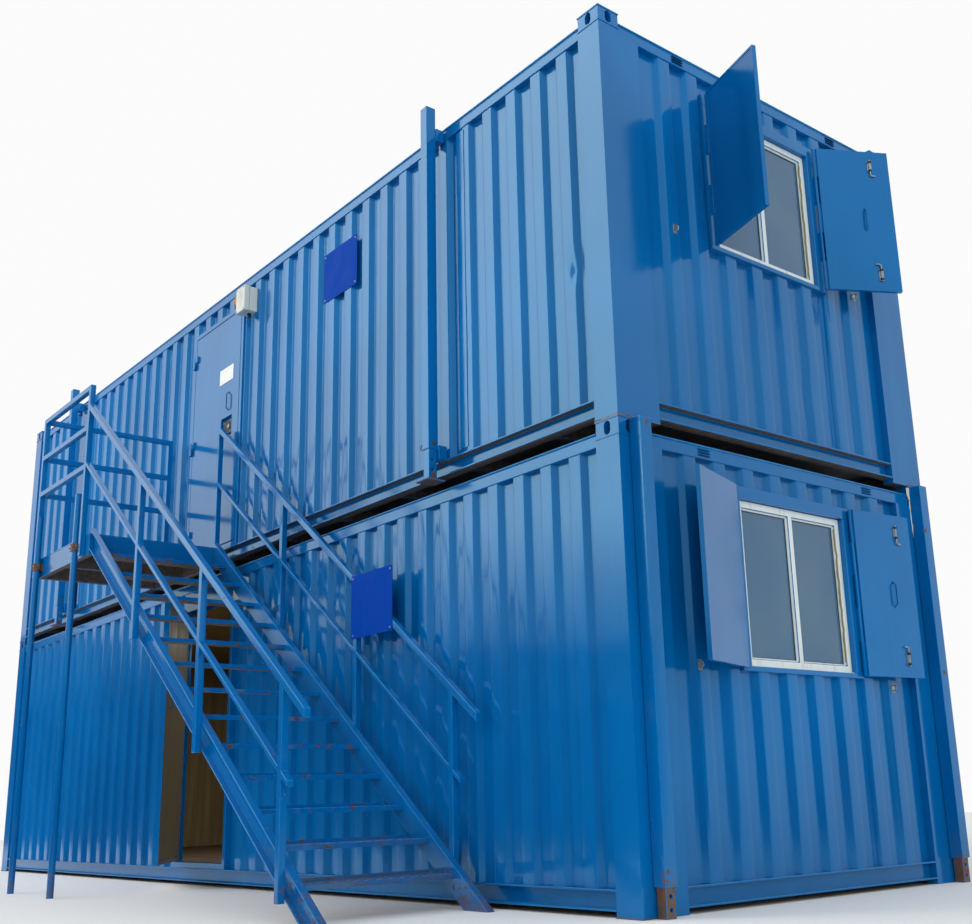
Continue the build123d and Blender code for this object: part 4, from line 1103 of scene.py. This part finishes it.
def leg_details():
    """Pins through the side legs, and the cover strips on the wall beside them."""
    low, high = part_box("upper_jack_legs")
    bm = bmesh.new()
    for x_foot in (low.x, high.x - SIDE_FOOT):
        for y_foot in (low.y, high.y - SIDE_FOOT):
            middle = Vector((x_foot + SIDE_FOOT / 2, y_foot + SIDE_FOOT / 2, STOREY + PIN_RISE))
            grip = middle - Vector((PIN_REACH, 0, 0))
            sweep(bm, [grip, middle + Vector((PIN_REACH - 0.02, 0, 0))], 0.008, 14)
            ring = [grip + Vector((-0.02 + 0.02 * cos(turn), 0.004 * sin(turn), 0.02 * sin(turn)))
                    for turn in turns(20)]
            sweep(bm, ring, 0.0035, 8, closed=True)
            stud(bm, middle + Vector((PIN_REACH - 0.032, 0, 0)), (1, 0, 0), 0.013, 0.013, 0.006, 16)
    finish_object("side_leg_pins", bm, ["rust"], ROOT, "blue_paint")
    wall_low, wall_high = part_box("upper_front_wall")
    bm = bmesh.new()
    for start in COVER_STRIPS:
        cover_strip(bm, X_NEAR + start, wall_low.y, wall_low.z + 0.03, wall_high.z - 0.02)
    finish_object("wall_cover_strips", bm, ["wall"], ROOT, "blue_paint", even=False)


def cover_strip(bm, start, face, low, high):
    """A flat strip with a slight wave along its edges."""
    rows = []
    for row in range(STRIP_ROWS + 1):
        height = low + (high - low) * row / STRIP_ROWS
        sway = 0.004 * noise.noise(Vector((2.2 * height, start, 1.7)))
        bulge = 0.002 + 0.002 * noise.noise(Vector((3.1 * height, start, 6.3)))
        places = ((0, 0.001), (0, -STRIP_THICK), (0.5, -STRIP_THICK - bulge), (1, -STRIP_THICK), (1, 0.001))
        rows.append([bm.verts.new((start + sway + share * STRIP_WIDTH, face + depth, height))
                     for share, depth in places])
    for lower, upper in zip(rows, rows[1:]):
        skirt(bm, lower, upper)
    bm.faces.new(reversed(rows[0]))
    bm.faces.new(rows[-1])
    bmesh.ops.recalc_face_normals(bm, faces=bm.faces)


FLOOR_LOW, FLOOR_HIGH = (-24.0, -4.6), (16.0, 20.0)
# Soft lights in the dome: direction, start and full reach, brightness, and steps up or down by height
DOME_LIGHTS = (
    ((0.78, -0.62, 0.0), 0.55, 0.9, 1.3, ((0.75, 0.35),)),
    ((0.74, 0.63, 0.25), 0.45, 0.9, 0.7, ((0.07, 0.17), (0.56, 0.4))),
)
DOME_STEPS = ((0.04, 0.3, 0.03, 0.42), (0.45, 0.9, 0.0, 0.7))
BACKGROUND_WHITE = 0.97
# Softbox to the front left: foot of its two ends from the near corner, heights, brightness, colour
SOFTBOX_ENDS, SOFTBOX_HEIGHTS = ((-7.5, -13.2), (-24.5, -4.9)), (3.6, 19.0)
SOFTBOX_FULL, SOFTBOX_FADE, SOFTBOX_COLOUR = 3.5, 2.6, (0.93, 0.93, 0.9, 1)
# Dark card round the camera's side, which the gloss paint shows near the ground
CARD_RADIUS, CARD_LOW, CARD_HIGH, CARD_ARC, CARD_STEPS = 22.0, -3.0, 4.2, (180, 405), 48
ROOM_LAMP, ROOM_LAMP_HEIGHT, ROOM_LAMP_SIZE, ROOM_LAMP_COLOUR = 34, 2.2, (6.0, 0.5), (1.0, 0.93, 0.82)
DOME_COLOUR = (0.88, 0.98, 1.0, 1)


class Dome(Tree):
    """The studio's dome of soft light, built node by node."""

    def __init__(self):
        world = bpy.data.worlds.new("studio")
        bpy.context.scene.world = world
        super().__init__(world)
        self.ray = self.node("TexCoord").outputs["Generated"]
        self.height = self.part(self.ray, "Z")

    def towards(self, direction):
        """How far a ray points along a direction."""
        node = self.node("VectorMath")
        node.operation = "DOT_PRODUCT"
        self.put(node.inputs[0], self.ray)
        self.put(node.inputs[1], direction)
        return node.outputs["Value"]

    def background(self, colour, strength):
        """Light of one colour."""
        node = self.node("Background")
        self.put(node.inputs["Color"], colour)
        self.put(node.inputs["Strength"], strength)
        return node.outputs[0]

    def light(self):
        """Soft light from all round, and plain white where the background is seen."""
        total = self.band(self.height, *DOME_STEPS[0])
        total = self.math("ADD", total, self.band(self.height, *DOME_STEPS[1]))
        for direction, start, end, strength, fades in DOME_LIGHTS:
            side = self.band(self.towards(direction), start, end, 0, strength)
            for low, high in fades:
                side = self.math("MULTIPLY", side, self.band(self.height, low, high))
            total = self.math("ADD", total, side)
        ray = self.node("LightPath").outputs
        seen = self.math("MAXIMUM", ray["Is Camera Ray"], ray["Is Glossy Ray"])
        seen = self.math("MAXIMUM", seen, ray["Is Transmission Ray"])
        whole = self.node("MixShader")
        self.put(whole.inputs[0], seen)
        self.put(whole.inputs[1], self.background(DOME_COLOUR, total))
        self.put(whole.inputs[2], self.background((1, 1, 1, 1), BACKGROUND_WHITE))
        self.put(self.node("OutputWorld").inputs[0], whole.outputs[0])


def stage_card(name, columns, material):
    """An upright card of the studio, out of the camera's sight."""
    bm = bmesh.new()
    rows = [[bm.verts.new(corner) for corner in column] for column in columns]
    for first, second in zip(rows, rows[1:]):
        bm.faces.new((first[0], second[0], second[1], first[1]))
    mesh = bpy.data.meshes.new(name)
    bm.to_mesh(mesh)
    bm.free()
    mesh.materials.append(material)
    card = placed(name, mesh)
    card.visible_camera = False
    return card


def softbox():
    """A broad glowing card to the front left, fading out to one end and to its foot."""
    first, second = (near(x, y, 0) for x, y in SOFTBOX_ENDS)
    low, high = SOFTBOX_HEIGHTS
    g = Graph("softbox_cloth")
    along = g.band(g.axis("X"), second.x, first.x)
    upward = g.band(g.axis("Z"), low, low + SOFTBOX_FADE)
    glow = g.math("MULTIPLY", g.math("MULTIPLY", along, upward), SOFTBOX_FULL)
    g.set(base_color=(0, 0, 0, 1), roughness=1.0, emission_color=SOFTBOX_COLOUR)
    g.set(emission_strength=g.math("ADD", glow, BACKGROUND_WHITE))
    columns = [[(foot.x, foot.y, low), (foot.x, foot.y, high)] for foot in (first, second)]
    stage_card("softbox", columns, g.material)


def dark_card():
    """A low dark card round the camera's side, seen only in the gloss of the paint."""
    columns = []
    for step in range(CARD_STEPS + 1):
        turn = radians(CARD_ARC[0] + (CARD_ARC[1] - CARD_ARC[0]) * step / CARD_STEPS)
        foot = near(CARD_RADIUS * cos(turn), CARD_RADIUS * sin(turn), 0)
        columns.append([(foot.x, foot.y, CARD_LOW), (foot.x, foot.y, CARD_HIGH)])
    card = stage_card("dark_card", columns, MATERIALS["black"])
    card.visible_diffuse = card.visible_shadow = False


def studio():
    """Pale floor, the dome, the two cards, and a dim lamp under each ceiling."""
    mesh = bpy.data.meshes.new("studio_floor")
    low, high = FLOOR_LOW, FLOOR_HIGH
    mesh.from_pydata([(low[0], low[1], 0), (high[0], low[1], 0), (high[0], high[1], 0), (low[0], high[1], 0)],
                     [], [(0, 1, 2, 3)])
    mesh.materials.append(pale_floor("studio_floor"))
    floor = placed("studio_floor", mesh)
    Dome().light()
    softbox()
    dark_card()
    for cabin, level in LEVELS.items():
        lamp = bpy.data.lights.new(f"{cabin}_ceiling_lamp", "AREA")
        lamp.shape = "RECTANGLE"
        lamp.size, lamp.size_y = ROOM_LAMP_SIZE
        lamp.energy = ROOM_LAMP
        lamp.color = ROOM_LAMP_COLOUR
        holder = placed(f"{cabin}_ceiling_lamp", lamp)
        holder.location = ((X_NEAR + X_FAR) / 2, Y_MID, level + ROOM_LAMP_HEIGHT)


def camera():
    """The photo's view."""
    data = bpy.data.cameras.new("photo_view")
    data.sensor_fit = "HORIZONTAL"
    data.sensor_width = SENSOR_WIDTH
    data.lens = FOCAL_PIXELS * SENSOR_WIDTH / PHOTO_WIDTH
    data.shift_x = (PHOTO_WIDTH / 2 - PRINCIPAL_PIXEL[0]) / PHOTO_WIDTH
    data.shift_y = (PRINCIPAL_PIXEL[1] - PHOTO_HEIGHT / 2) / PHOTO_WIDTH
    view = placed("photo_view", data)
    forward = CAMERA_FORWARD.normalized()
    right = (CAMERA_RIGHT - forward * CAMERA_RIGHT.dot(forward)).normalized()
    turn = Matrix((right, right.cross(forward), -forward)).transposed()
    place = Vector((X_NEAR, Y_FRONT, 0)) + CAMERA_FROM_CORNER
    view.matrix_world = Matrix.Translation(place) @ turn.to_4x4()
    bpy.context.scene.camera = view


walls()
frames()
doors_and_shutters()
for level_name in LEVELS:
    window_trim(level_name)
end_wall_details()
door_details()
signs()
supply_boxes()
stair()
leg_details()
packing_strip()
studio()
camera()
bpy.context.scene.view_settings.view_transform = "Standard"
